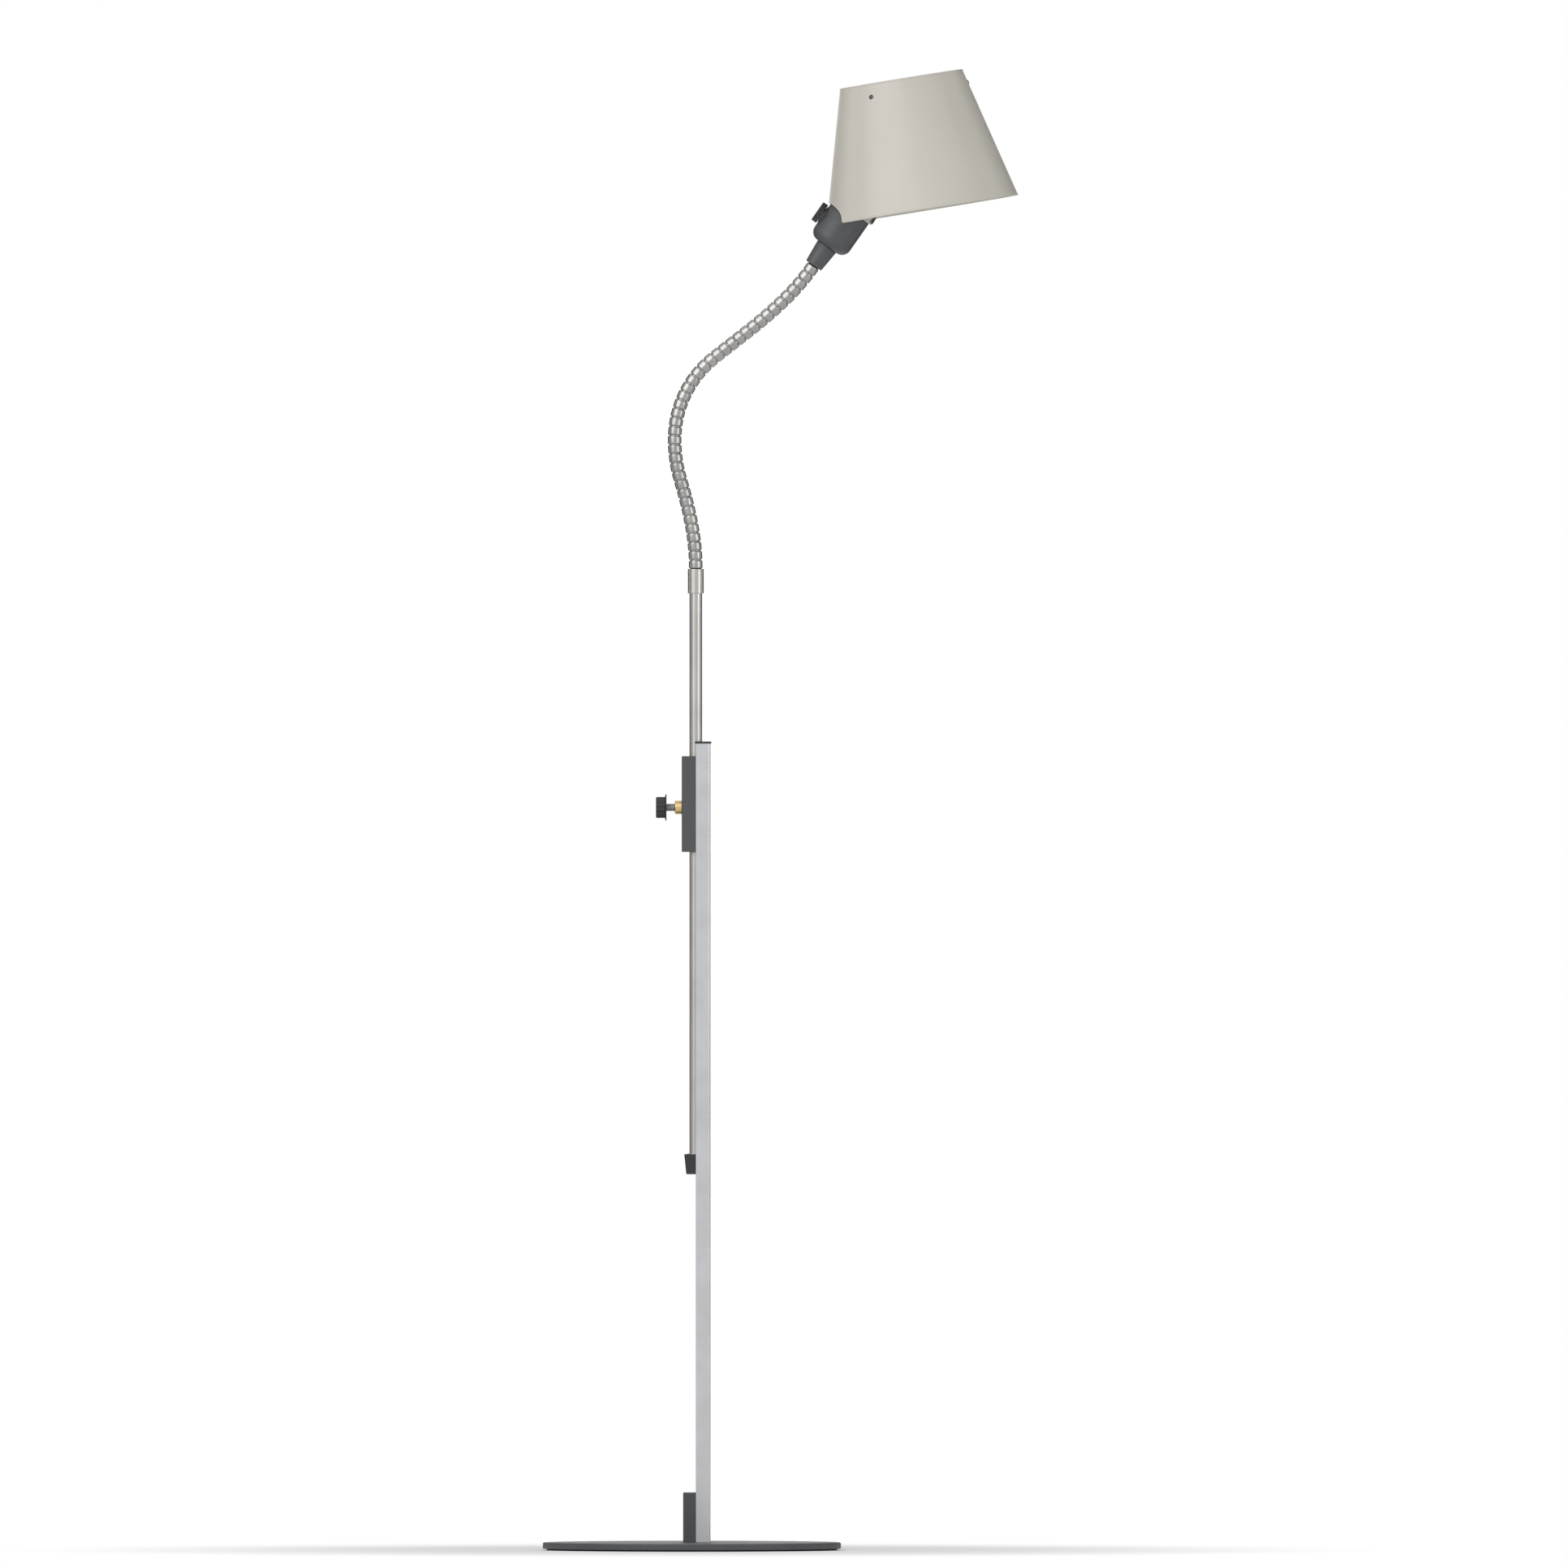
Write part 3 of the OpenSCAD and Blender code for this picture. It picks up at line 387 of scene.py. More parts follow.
class Mesh:
    """Collects faces in a piece's own axes, with a length-wise UV map."""

    def __init__(self):
        self.bm = bmesh.new()
        self.uv = self.bm.loops.layers.uv.new("UVMap")
        self.axes = WORLD

    def loft(self, loops, wrap=False, caps=True):
        """Skins loops that have as many points each. A loop of one point is a tip."""
        rings = [[self.bm.verts.new(self.axes @ p) for p in loop] for loop in loops]
        along = 0.0
        pairs = list(zip(rings, rings[1:] + rings[:1]))
        for low, high in pairs if wrap else pairs[:-1]:
            count = max(len(low), len(high))
            step = (high[0].co - low[0].co).length
            girth = max(sum((r[i].co - r[i - 1].co).length for i in range(len(r))) for r in (low, high))
            for i in range(count):
                a, b = i, (i + 1) % count
                left, right = girth * i / count, girth * (i + 1) / count
                if len(low) == 1:
                    corners = [low[0], high[b], high[a]]
                    places = [(left, along), (right, along + step), (left, along + step)]
                elif len(high) == 1:
                    corners = [low[a], low[b], high[0]]
                    places = [(left, along), (right, along), (left, along + step)]
                else:
                    corners = [low[a], low[b], high[b], high[a]]
                    places = [(left, along), (right, along), (right, along + step), (left, along + step)]
                face = self.bm.faces.new(corners)
                for corner, place in zip(face.loops, places):
                    corner[self.uv].uv = place
            along += step
        if caps and not wrap:
            for ring in (rings[0][::-1], rings[-1]):
                if len(ring) > 2:
                    self.flat(ring)
        return self

    def flat(self, ring):
        """Closes a ring with one flat face, mapped by its own axes."""
        face = self.bm.faces.new(ring)
        for corner in face.loops:
            corner[self.uv].uv = corner.vert.co.xy

    def turned(self, profile, count, wrap=False):
        """Revolves a profile of (radius, height) about Z; a radius of 0 makes a tip."""
        loops = []
        for radius, height in profile:
            loops.append(tip(height) if radius < 1e-7 else circle(radius, height, count))
        return self.loft(loops, wrap=wrap, caps=False)

    def prism(self, outline, low, high, edge, top_edge=None):
        """Extrudes an outline, with rounded rims at both ends."""
        steps = 3
        loops = []
        for i in range(steps + 1):
            angle = math.pi / 2 * i / steps
            height = low + edge * (1 - math.cos(angle))
            loops.append(level(inset(outline, edge * (1 - math.sin(angle))), height))
        return self.loft(loops + rim(outline, high, top_edge or edge, steps))

    def made(self, name, place=WORLD):
        """The finished object, with its faces turned outwards."""
        bmesh.ops.recalc_face_normals(self.bm, faces=self.bm.faces)
        data = bpy.data.meshes.new(name)
        self.bm.to_mesh(data)
        self.bm.free()
        piece = bpy.data.objects.new(name, data)
        bpy.context.scene.collection.objects.link(piece)
        piece.matrix_world = place
        return piece


def combine(piece, others, operation="DIFFERENCE"):
    """Cuts other pieces out of a piece, or joins them to it, and removes them."""
    for other in others:
        change = piece.modifiers.new("combine", "BOOLEAN")
        change.operation = operation
        change.solver = "EXACT"
        change.object = other
    bpy.context.view_layer.update()
    shown = piece.evaluated_get(bpy.context.evaluated_depsgraph_get())
    data = bpy.data.meshes.new_from_object(shown)
    piece.modifiers.clear()
    piece.data = data
    for other in others:
        bpy.data.objects.remove(other)


def bore(place, radius, low, high, count=64):
    """A plain cutter along Z."""
    return Mesh().loft([circle(radius, low, count), circle(radius, high, count)]).made("bore", place)


def stepped_bore(place, heights, radii):
    """A cutter along Z whose radius changes at each inner height."""
    profile = [(0, heights[0])]
    for radius, low, high in zip(radii, heights, heights[1:]):
        profile += [(radius, low), (radius, high)]
    return Mesh().turned(profile + [(0, heights[-1])], 96).made("stepped_bore", place)


def dress(piece, body, material, node, crease=32):
    """Gives a piece its finish, its shading and its body, and hides the node that it stands for."""
    piece.data.materials.clear()
    piece.data.materials.append(material)
    piece.data.shade_smooth()
    piece.data.set_sharp_from_angle(angle=crease * DEG)
    even = piece.modifiers.new("even_shading", "WEIGHTED_NORMAL")
    even.keep_sharp = True
    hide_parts(node)
    if body:
        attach(piece, body)


# Stand
def radius_of(node):
    low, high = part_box(node)
    return (high.x - low.x) / 2


def make_base():
    low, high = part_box("base_plate")
    radius = radius_of("base_plate")
    profile = rounded([
        (0, low.z), (radius, low.z, 0.5 * MM), (radius, high.z, 1.6 * MM), (0, high.z)
    ], closed=False)
    plate = Mesh().turned(profile, 256).made("base_disc")
    dress(plate, "stand", GRAPHITE, "base_plate")


def make_pad():
    """The pad under the base, with three shallow ring grooves."""
    low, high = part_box("foot_pad")
    radius = radius_of("foot_pad")
    spacing, width, slope = 22 * MM, 4 * MM, 0.4 * MM
    deep, soft = 0.5 * MM, 0.2 * MM
    corners = [(0, low.z)]
    for ring in (3, 2, 1):
        inner = radius - ring * spacing
        corners += [
            (inner, low.z, soft), (inner + slope, low.z + deep, soft),
            (inner + width - slope, low.z + deep, soft), (inner + width, low.z, soft)
        ]
    corners += [(radius, low.z, 0.4 * MM), (radius, high.z), (0, high.z)]
    pad = Mesh().turned(rounded(corners, 3, closed=False), 192).made("base_pad")
    dress(pad, "stand", RUBBER, "foot_pad")


def back_screw_places():
    """Axes of the screws through the channel's back, lowest first, +Z inwards."""
    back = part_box("upright_channel")[1].x
    made = []
    for node, share in (("foot_block", 0.28), ("clamp_block", 0.15)):
        low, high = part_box(node)
        off = share * (high.z - low.z)
        made += [shift(back, 0, height) @ spin_y(-math.pi / 2) for height in (low.z + off, high.z - off)]
    return made


def make_channel():
    low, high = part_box("upright_channel")
    wall = 1.6 * MM
    lip, outer, inner = 0.5 * MM, 2.5 * MM, 0.3 * MM
    half, half_in = high.y, high.y - wall
    outline = rounded([
        (low.x, -half, lip), (high.x, -half, outer), (high.x, half, outer), (low.x, half, lip),
        (low.x, half_in, lip), (high.x - wall, half_in, inner), (high.x - wall, -half_in, inner),
        (low.x, -half_in, lip)
    ])
    channel = Mesh().prism(outline, low.z, high.z, 0.25 * MM).made("channel")
    head, deep = 4.1 * MM, 6 * MM
    profile = [(0, -MM), (head, -MM), (head, 0), (head / 2, head / 2), (head / 2, deep), (0, deep)]
    sinks = [Mesh().turned(profile, 48).made("countersink", place) for place in back_screw_places()]
    combine(channel, sinks)
    dress(channel, "stand", ANODISED, "upright_channel")


def make_channel_screws():
    head, sunk, tail = 3.95 * MM, 0.05 * MM, 5.8 * MM
    profile = rounded([
        (0, sunk), (head, sunk, 0.04 * MM), (head / 2, head / 2), (head / 2, tail), (0, tail)
    ], 3, closed=False)
    screws = Mesh()
    for place in back_screw_places():
        one = Mesh().turned(profile, 48).made("screw")
        combine(one, [bore(WORLD, 1.45 * MM, -MM, 1.6 * MM, 6)])
        one.data.transform(place)
        screws.bm.from_mesh(one.data)
        bpy.data.objects.remove(one)
    dress(screws.made("channel_screws"), "stand", ZINC, "back_screws")


def block_outline(node):
    """Plan of a block: a front as wide as the channel and a tongue inside it."""
    low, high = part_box(node)
    corner = 2.0 * MM
    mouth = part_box("upright_channel")[0].x
    tongue = high.y - 1.7 * MM
    return rounded([
        (low.x, -high.y, corner), (mouth, -high.y, 0.3 * MM), (mouth, -tongue),
        (high.x, -tongue, 0.6 * MM), (high.x, tongue, 0.6 * MM), (mouth, tongue),
        (mouth, high.y, 0.3 * MM), (low.x, high.y, corner)
    ])


def make_foot_block():
    low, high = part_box("foot_block")
    foot = Mesh().prism(block_outline("foot_block"), low.z, high.z, 0.2 * MM, top_edge=0.8 * MM)
    dress(foot.made("foot_piece"), "stand", GRAPHITE, "foot_block")


def make_clamp_block():
    low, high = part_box("clamp_block")
    block = Mesh().prism(block_outline("clamp_block"), low.z, high.z, 0.8 * MM).made("clamp_piece")
    bush = radius_of("upper_bush")
    seat, relief = bush + 0.05 * MM, bush - 0.75 * MM
    seat_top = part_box("lower_bush")[1].z
    heights = [low.z - MM, seat_top, high.z - (seat_top - low.z), high.z + MM]
    combine(block, [stepped_bore(ROD_PLACE, heights, [seat, relief, seat])])
    dress(block, "stand", GRAPHITE, "clamp_block")


def make_bushes():
    inner = radius_of("mast_rod") + 0.06 * MM
    for node in ("upper_bush", "lower_bush"):
        low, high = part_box(node)
        profile = tube(inner, radius_of(node), low.z, high.z, 0.4 * MM, 0.3 * MM)
        ring = Mesh().turned(profile, 96, wrap=True).made(node + "_ring", ROD_PLACE)
        dress(ring, "stand", NYLON, node)


def make_cap():
    low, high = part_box("channel_cap")
    rod_room, wall_room = 7.3 * MM, 2.7 * MM
    lid_low = high.z - 2 * MM

    def notched(x_low, x_high, half, corner):
        """A plate's plan with a round notch for the rod in its front."""
        lean = math.acos((x_low - MAST_X) / rod_room)
        arc = [lean - 2 * lean * i / 32 for i in range(33)]
        notch = [(MAST_X + rod_room * math.cos(a), rod_room * math.sin(a)) for a in arc]
        outer = [
            (x_low, -half, corner / 2), (x_high, -half, corner),
            (x_high, half, corner), (x_low, half, corner / 2)
        ]
        return rounded(outer + notch)

    cap = Mesh()
    lid = notched(low.x, high.x, high.y, 2.4 * MM)
    cap.prism(lid, lid_low, high.z, 0.2 * MM, top_edge=0.7 * MM)
    skirt = notched(low.x + 2 * MM, high.x - wall_room, high.y - wall_room, 0.6 * MM)
    cap.prism(skirt, low.z, lid_low, 0.2 * MM)
    dress(cap.made("cap_piece"), "stand", BLACK_PLASTIC, "channel_cap")


# Clamp screw, drawn along the screw's own axis: +Z points away from the block
STUD_R = 4.0 * MM
BLOCK_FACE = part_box("clamp_block")[0].x
SCREW = shift(BLOCK_FACE, 0, middle("screw_boss").z) @ spin_y(-math.pi / 2)


def make_boss():
    low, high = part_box("screw_boss")
    radius = (high.z - low.z) / 2
    shank, hole = radius - 1.5 * MM, STUD_R + 0.06 * MM
    deep, length = BLOCK_FACE - high.x, BLOCK_FACE - low.x
    boss = Mesh().turned(rounded([
        (hole, deep), (shank, deep), (shank, 0), (radius, 0, 0.2 * MM),
        (radius, length, 0.9 * MM), (hole, length, 0.5 * MM)
    ], 4), 96, wrap=True).made("boss_piece", SCREW)
    dress(boss, "stand", BRASS, "screw_boss")


def make_stud():
    """A stud with its thread, from the pad's end into the knob."""
    pitch, deep, taper = 1.25 * MM, 0.6 * MM, 1.5 * MM
    sides, slices_a_turn = 32, 10
    tip_at = BLOCK_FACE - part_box("clamp_stud")[1].x
    end = BLOCK_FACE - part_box("clamp_knob")[1].x + 5 * MM
    count = round((end - tip_at) / pitch * slices_a_turn)
    rings = []
    for i in range(count + 1):
        height = tip_at + (end - tip_at) * i / count
        full = 0.8 + 0.2 * min(1, (height - tip_at) / taper)
        ring = []
        for k in range(sides):
            phase = (height / pitch - k / sides) % 1
            radius = (STUD_R - deep * abs(2 * phase - 1)) * full
            angle = 2 * math.pi * k / sides
            ring.append(Vector((*polar(radius, angle), height)))
        rings.append(ring)
    screw = Mesh().loft(rings).made("stud_piece", SCREW)
    dress(screw, "clamp_screw", ZINC, "clamp_stud")


def make_knob():
    low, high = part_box("clamp_knob")
    bottom, top = BLOCK_FACE - high.x, BLOCK_FACE - low.x
    flange_r, flange_top = high.y, bottom + 1.4 * MM
    hole, hole_end = STUD_R + 0.05 * MM, bottom + 6 * MM
    grip = fluted(11.0 * MM, 12, 1.7 * MM, 0.7 * MM)
    count = len(grip)
    flange = rounded([
        (hole, bottom), (flange_r, bottom, 0.5 * MM), (flange_r, flange_top)
    ], 4, closed=False)
    loops = [tip(hole_end), circle(hole, hole_end, count)]
    loops += [circle(r, z, count) for r, z in flange[:-1]]
    shoulder = 12.3 * MM
    loops += [circle(shoulder, flange_top, count), level(grip, flange_top + 0.05 * MM)]
    loops += rim(grip, top, 1.2 * MM)
    loops += dish(top, ((7.2, 0), (6.9, 0.1), (6.7, 0.6), (6.2, 0.8), (0, 0.8)), count)
    knob = Mesh().loft(loops, caps=False)
    dress(knob.made("knob_piece", SCREW), "clamp_screw", BLACK_PLASTIC, "clamp_knob")


def smoothed(values, times):
    """Softens the kinks in a closed row of numbers or points."""
    count = len(values)
    for _ in range(times):
        values = [(values[i - 1] + 2 * values[i] + values[(i + 1) % count]) / 4 for i in range(count)]
    return values


def fluted(radius, flutes, flute_radius, flute_out, steps=16):
    """Round outline with hollow flutes, their shoulders softened."""
    made = []
    centre = radius + flute_out
    count = flutes * steps
    for i in range(count):
        angle = 2 * math.pi * i / count
        off = (angle + math.pi / flutes) % (2 * math.pi / flutes) - math.pi / flutes
        reach = flute_radius ** 2 - (centre * math.sin(off)) ** 2
        hollow = centre * math.cos(off) - math.sqrt(reach) if reach > 0 else radius
        made.append(min(radius, hollow))
    return [Vector(polar(r, 2 * math.pi * i / count)) for i, r in enumerate(smoothed(made, 2))]


# Sliding rod with its end plug, ferrule and shoe
def make_rod():
    low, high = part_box("mast_rod")
    outer = radius_of("mast_rod")
    profile = tube(outer - 1.2 * MM, outer, low.z, high.z, 0.3 * MM, 0.3 * MM)
    rod = Mesh().turned(profile, 96, wrap=True).made("rod_tube", ROD_PLACE)
    dress(rod, "mast", NICKEL_LONG, "mast_rod")


def make_plug():
    low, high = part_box("rod_end_plug")
    flange = radius_of("rod_end_plug")
    stem, hole = 5.25 * MM, 3.65 * MM
    under = low.z + 2.4 * MM
    profile = rounded([
        (hole, low.z, 1.2 * MM), (flange, low.z, 0.6 * MM), (flange, under, 0.3 * MM), (stem, under),
        (stem, high.z, 0.4 * MM), (hole, high.z, 0.4 * MM)
    ], 4)
    plug = Mesh().turned(profile, 72, wrap=True).made("end_plug", ROD_PLACE)
    dress(plug, "mast", BLACK_PLASTIC, "rod_end_plug")


def make_ferrule():
    low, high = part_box("neck_ferrule")
    outer = radius_of("neck_ferrule")
    rod_room, neck_room = 6.55 * MM, 7.05 * MM
    step = low.z + 15 * MM
    profile = rounded([
        (rod_room, low.z, 0.3 * MM), (outer, low.z, 0.6 * MM), (outer, high.z, 0.9 * MM),
        (neck_room, high.z, 0.2 * MM), (neck_room, step), (rod_room, step)
    ], 5)
    ferrule = Mesh().turned(profile, 96, wrap=True).made("ferrule_piece", ROD_PLACE)
    dress(ferrule, "mast", NICKEL_TURNED, "neck_ferrule")


def make_shoe():
    low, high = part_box("guide_shoe")
    back, half = high.x - MAST_X, high.y
    top_r = MAST_X - low.x
    bottom_r = top_r - 2.1 * MM
    edge, corner = 0.6 * MM, 1.0 * MM
    cone = rounded([
        (0, low.z), (bottom_r, low.z, edge), (top_r, high.z, edge), (0, high.z)
    ], 5, closed=False)
    shoe = Mesh().turned(cone, 128).made("shoe_piece", ROD_PLACE)
    plan = rounded([(0, -half), (back, -half, corner), (back, half, corner), (0, half)])
    block = Mesh().prism(plan, low.z, high.z, edge).made("shoe_back", ROD_PLACE)
    combine(shoe, [block], "UNION")
    flange_room, rod_room, clip_room = 8.4 * MM, 6.56 * MM, 8.8 * MM
    heights = [low.z - MM, low.z + 4 * MM, high.z - 0.6 * MM, high.z + MM]
    combine(shoe, [stepped_bore(ROD_PLACE, heights, [flange_room, rod_room, clip_room])])
    dress(shoe, "slider", BLACK_PLASTIC, "guide_shoe")


# Flexible neck: distance from a groove's middle along the neck, and radius there, in millimetres
GROOVE_SHAPE = (
    (0.42, 5.72), (0.58, 5.86), (0.68, 6.15), (0.80, 6.50),
    (1.05, 6.78), (1.45, 6.93), (2.1, 6.99), (3.6, 7.0)
)
# Ribs from a joint to the groove where two pieces of the skin meet
SKIN_LEAD = 3


def neck_ring(ribs, radius):
    axes = Matrix.Translation(neck_point(ribs)) @ spin_y(heading(ribs))
    return [axes @ p for p in circle(radius, 0, 48)]


def make_neck():
    """Ribbed skin in pieces that meet in a groove, each laid round one joint."""
    tuck, tuck_radius = 0.03, GROOVE_RADIUS - 0.2 * MM
    ends = [0] + [RIBS * k + SKIN_LEAD for k in range(len(NECK_BENDS))] + [NECK_RIBS]
    for k, (first, last) in enumerate(zip(ends, ends[1:])):
        loops = [neck_ring(first - tuck, tuck_radius), neck_ring(first, GROOVE_RADIUS)]
        for rib in range(first, last):
            loops += [neck_ring(rib + d * MM / RIB_PITCH, r * MM) for d, r in GROOVE_SHAPE]
            loops += [neck_ring(rib + 1 - d * MM / RIB_PITCH, r * MM) for d, r in reversed(GROOVE_SHAPE)]
            loops.append(neck_ring(rib + 1, GROOVE_RADIUS))
        loops.append(neck_ring(last + tuck, tuck_radius))
        skin = Mesh().loft(loops).made("neck_skin_%d" % (k + 1))
        node = "neck_%d" % min(k + 1, len(NECK_BENDS))
        rigid = k == len(NECK_BENDS)
        dress(skin, "head" if rigid else None, NECK_METAL, node, crease=60)
        if not rigid:
            neck_point(first)
            neck_point(last)
            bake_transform(skin)


# Holder, in its own axes: +Z along the neck's end
SWITCH_UP = 24.5 * MM
SWITCH = facing_front(HEAD, SWITCH_UP)
# Radii of the holes round the nipple and round the holder's thread
NIPPLE_HOLE = 5.05 * MM
HOLDER_HOLE = 18.05 * MM


def make_collar():
    low, high = span("neck_collar", HEAD)
    foot, socket, socket_top = 9.3 * MM, 5.75 * MM, low.z + 12 * MM
    profile = rounded([
        (socket, low.z, 0.4 * MM), (foot, low.z, 1.4 * MM), (high.x, high.z, 0.5 * MM),
        (NIPPLE_HOLE, high.z), (NIPPLE_HOLE, socket_top), (socket, socket_top)
    ], 6)
    collar = Mesh().turned(profile, 96, wrap=True).made("collar_piece", HEAD)
    dress(collar, "head", GRAPHITE, "neck_collar")


def make_cup():
    low, high = span("holder_cup", HEAD)
    outer, top = high.x, high.z
    wall, corner = 1.5 * MM, 10 * MM
    inner = outer - wall
    shell = Mesh().turned(rounded([
        (0, 0), (outer, 0, corner), (outer, top, 0.4 * MM), (inner, top, 0.3 * MM), (0, top)
    ], 14, closed=False), 160).made("cup_piece", HEAD)
    pad, face = 9 * MM, -low.x
    seat = rounded([(0, inner), (pad, inner), (pad, face, 0.35 * MM), (0, face)], 4, closed=False)
    combine(shell, [Mesh().turned(seat, 96).made("pad", SWITCH)], "UNION")
    room = Mesh().turned(rounded([
        (0, wall), (inner, wall, corner - wall), (inner, top + MM), (0, top + MM)
    ], 14, closed=False), 160).made("room", HEAD)
    holes = [bore(HEAD, NIPPLE_HOLE, -MM, 3 * MM), bore(SWITCH, 4.55 * MM, 10 * MM, 30 * MM)]
    combine(shell, [room] + holes)
    dress(shell, "head", GRAPHITE, "holder_cup")


def make_ring():
    """The ring on the cup, with a fine line turned into it."""
    low, high = span("cup_ring", HEAD)
    radius = high.x
    waist, fine = radius - 0.35 * MM, 0.1 * MM
    ring = Mesh().turned(rounded([
        (HOLDER_HOLE, low.z, 0.3 * MM), (radius - 1.5 * MM, low.z, 0.3 * MM),
        (radius, low.z + 1.5 * MM, 0.5 * MM), (radius, high.z - 2.2 * MM, fine),
        (waist, high.z - 2.0 * MM, fine), (waist, high.z - 1.7 * MM, fine),
        (radius, high.z - 1.5 * MM, fine), (radius, high.z, 0.8 * MM),
        (HOLDER_HOLE, high.z, 0.3 * MM)
    ], 5), 160, wrap=True).made("ring_piece", HEAD)
    dress(ring, "head", NICKEL_TURNED, "cup_ring")


def make_lock_ring():
    low, high = span("lock_ring", HEAD)
    grip = fluted(high.x, 24, 1.1 * MM, 0.3 * MM, 8)
    nut = Mesh().prism(grip, low.z, high.z, 0.4 * MM).made("nut_piece", HEAD)
    combine(nut, [bore(HEAD, HOLDER_HOLE, low.z - MM, high.z + MM, 96)])
    dress(nut, "head", BLACK_PLASTIC, "lock_ring")


def make_switch():
    low, high = span("switch_knob", SWITCH)
    grip = fluted(11.0 * MM, 20, 0.9 * MM, 0.4 * MM, 12)
    count = len(grip)
    hollow, hollow_end, edge = 7.6 * MM, low.z + 1.3 * MM, 0.3 * MM
    loops = [tip(hollow_end), circle(hollow, hollow_end, count), circle(hollow, low.z, count)]
    loops += [level(inset(grip, edge), low.z), level(grip, low.z + edge)]
    loops += rim(grip, high.z, 0.9 * MM)
    shape = ((9.2, 0), (8.9, 0.05), (8.6, 0.3), (7.5, 0.5), (4, 0.65), (0, 0.7))
    knob = Mesh().loft(loops + dish(high.z, shape, count), caps=False)
    bar, near, far = 0.6 * MM, 2.5 * MM, 8.2 * MM
    pointer = rounded([(near, -bar, bar), (far, -bar, bar), (far, bar, bar), (near, bar, bar)])
    knob.prism(pointer, high.z - 1.2 * MM, high.z, 0.25 * MM)
    dress(knob.made("dial_piece", SWITCH), "switch_dial", BLACK_PLASTIC, "switch_knob")


def make_holder():
    low, high = span("lampholder", HEAD)
    radius = high.x
    hole, shell = 2 * MM, 14.25 * MM
    floor, mouth = low.z + 4 * MM, high.z - 6 * MM
    body = Mesh().turned(rounded([
        (hole, low.z), (radius, low.z, 0.8 * MM), (radius, high.z, 1.0 * MM),
        (shell + 1.9 * MM, high.z, 0.5 * MM), (shell, mouth, 1.0 * MM), (shell, floor), (hole, floor)
    ], 5), 128, wrap=True).made("holder_piece", HEAD)
    dress(body, "head", PORCELAIN, "lampholder")


def make_bulb():
    low, high = span("bulb_glass", HEAD)
    radius, neck = high.x, 12.5 * MM
    centre = high.z - radius
    steps = 28
    profile = [(0, low.z), (neck, low.z)]
    for i in range(1, steps):
        share = i / steps
        flare = neck + (radius - neck) * (1 - math.cos(math.pi * share)) / 2
        profile.append((flare, low.z + (centre - low.z) * share))
    for i in range(steps):
        angle = math.pi / 2 * i / steps
        profile.append((radius * math.cos(angle), centre + radius * math.sin(angle)))
    glass = Mesh().turned(profile + [(0, high.z)], 96).made("bulb_piece", HEAD)
    dress(glass, "head", BULB, "bulb_glass", crease=50)


# Shade, in its own axes: origin at the mouth's centre, +Z towards its top
SHADE_MOUTH = span("shade", SHADE)[1].x
SHADE_TALL = span("shade", SHADE)[1].z
SHADE_CONE = math.atan2(SHADE_MOUTH - SHADE_TOP, SHADE_TALL)
# The wall's thickness measured level
LEVEL_WALL = SHADE_WALL / math.cos(SHADE_CONE)


def shade_radius(height):
    """Outer radius of the shade at a height above its mouth."""
    return SHADE_MOUTH - (SHADE_MOUTH - SHADE_TOP) * height / SHADE_TALL


def make_shade():
    steps = 24
    heights = [SHADE_TALL * i / steps for i in range(steps + 1)]
    profile = [(shade_radius(z), z) for z in heights]
    profile += [(shade_radius(z) - LEVEL_WALL, z) for z in reversed(heights)]
    skin = Mesh().turned(profile, 256, wrap=True).made("shade_skin", SHADE)
    half, below = ARCH_WIDTH / 2, -2 * MM
    angles = [math.pi * i / 64 for i in range(65)]
    outline = [Vector((half * math.cos(a), ARCH_HEIGHT * math.sin(a))) for a in angles]
    outline += [Vector((-half, below)), Vector((half, below))]
    # The arch's outline stands in the shade's y and z, and its cutter runs towards -X
    sideways = SHADE @ Matrix(((0, 0, -1, 0), (1, 0, 0, 0), (0, 1, 0, 0), (0, 0, 0, 1)))
    ends = [level(outline, 30 * MM), level(outline, SHADE_MOUTH + 5 * MM)]
    combine(skin, [Mesh().loft(ends).made("arch", sideways)])
    dress(skin, "head", SHADE_OUTSIDE, "shade")
    skin.data.materials.append(SHADE_INSIDE)
    for face in skin.data.polygons:
        if face.normal.x * face.center.x + face.normal.y * face.center.y < 0:
            face.material_index = 1


def rolled_edge(mesh, points, radius):
    """A closed bead along points on the shade's wall."""
    sides = 12
    lift = math.tan(SHADE_CONE)
    angles = [2 * math.pi * k / sides for k in range(sides)]
    count = len(points)
    loops = []
    for i, point in enumerate(points):
        along = (points[(i + 1) % count] - points[i - 1]).normalized()
        outwards = Vector((point.x, point.y, point.to_2d().length * lift)).normalized()
        side = along.cross(outwards).normalized()
        out = side.cross(along)
        loops.append([point + radius * (math.cos(a) * out + math.sin(a) * side) for a in angles])
    mesh.loft(loops, wrap=True)


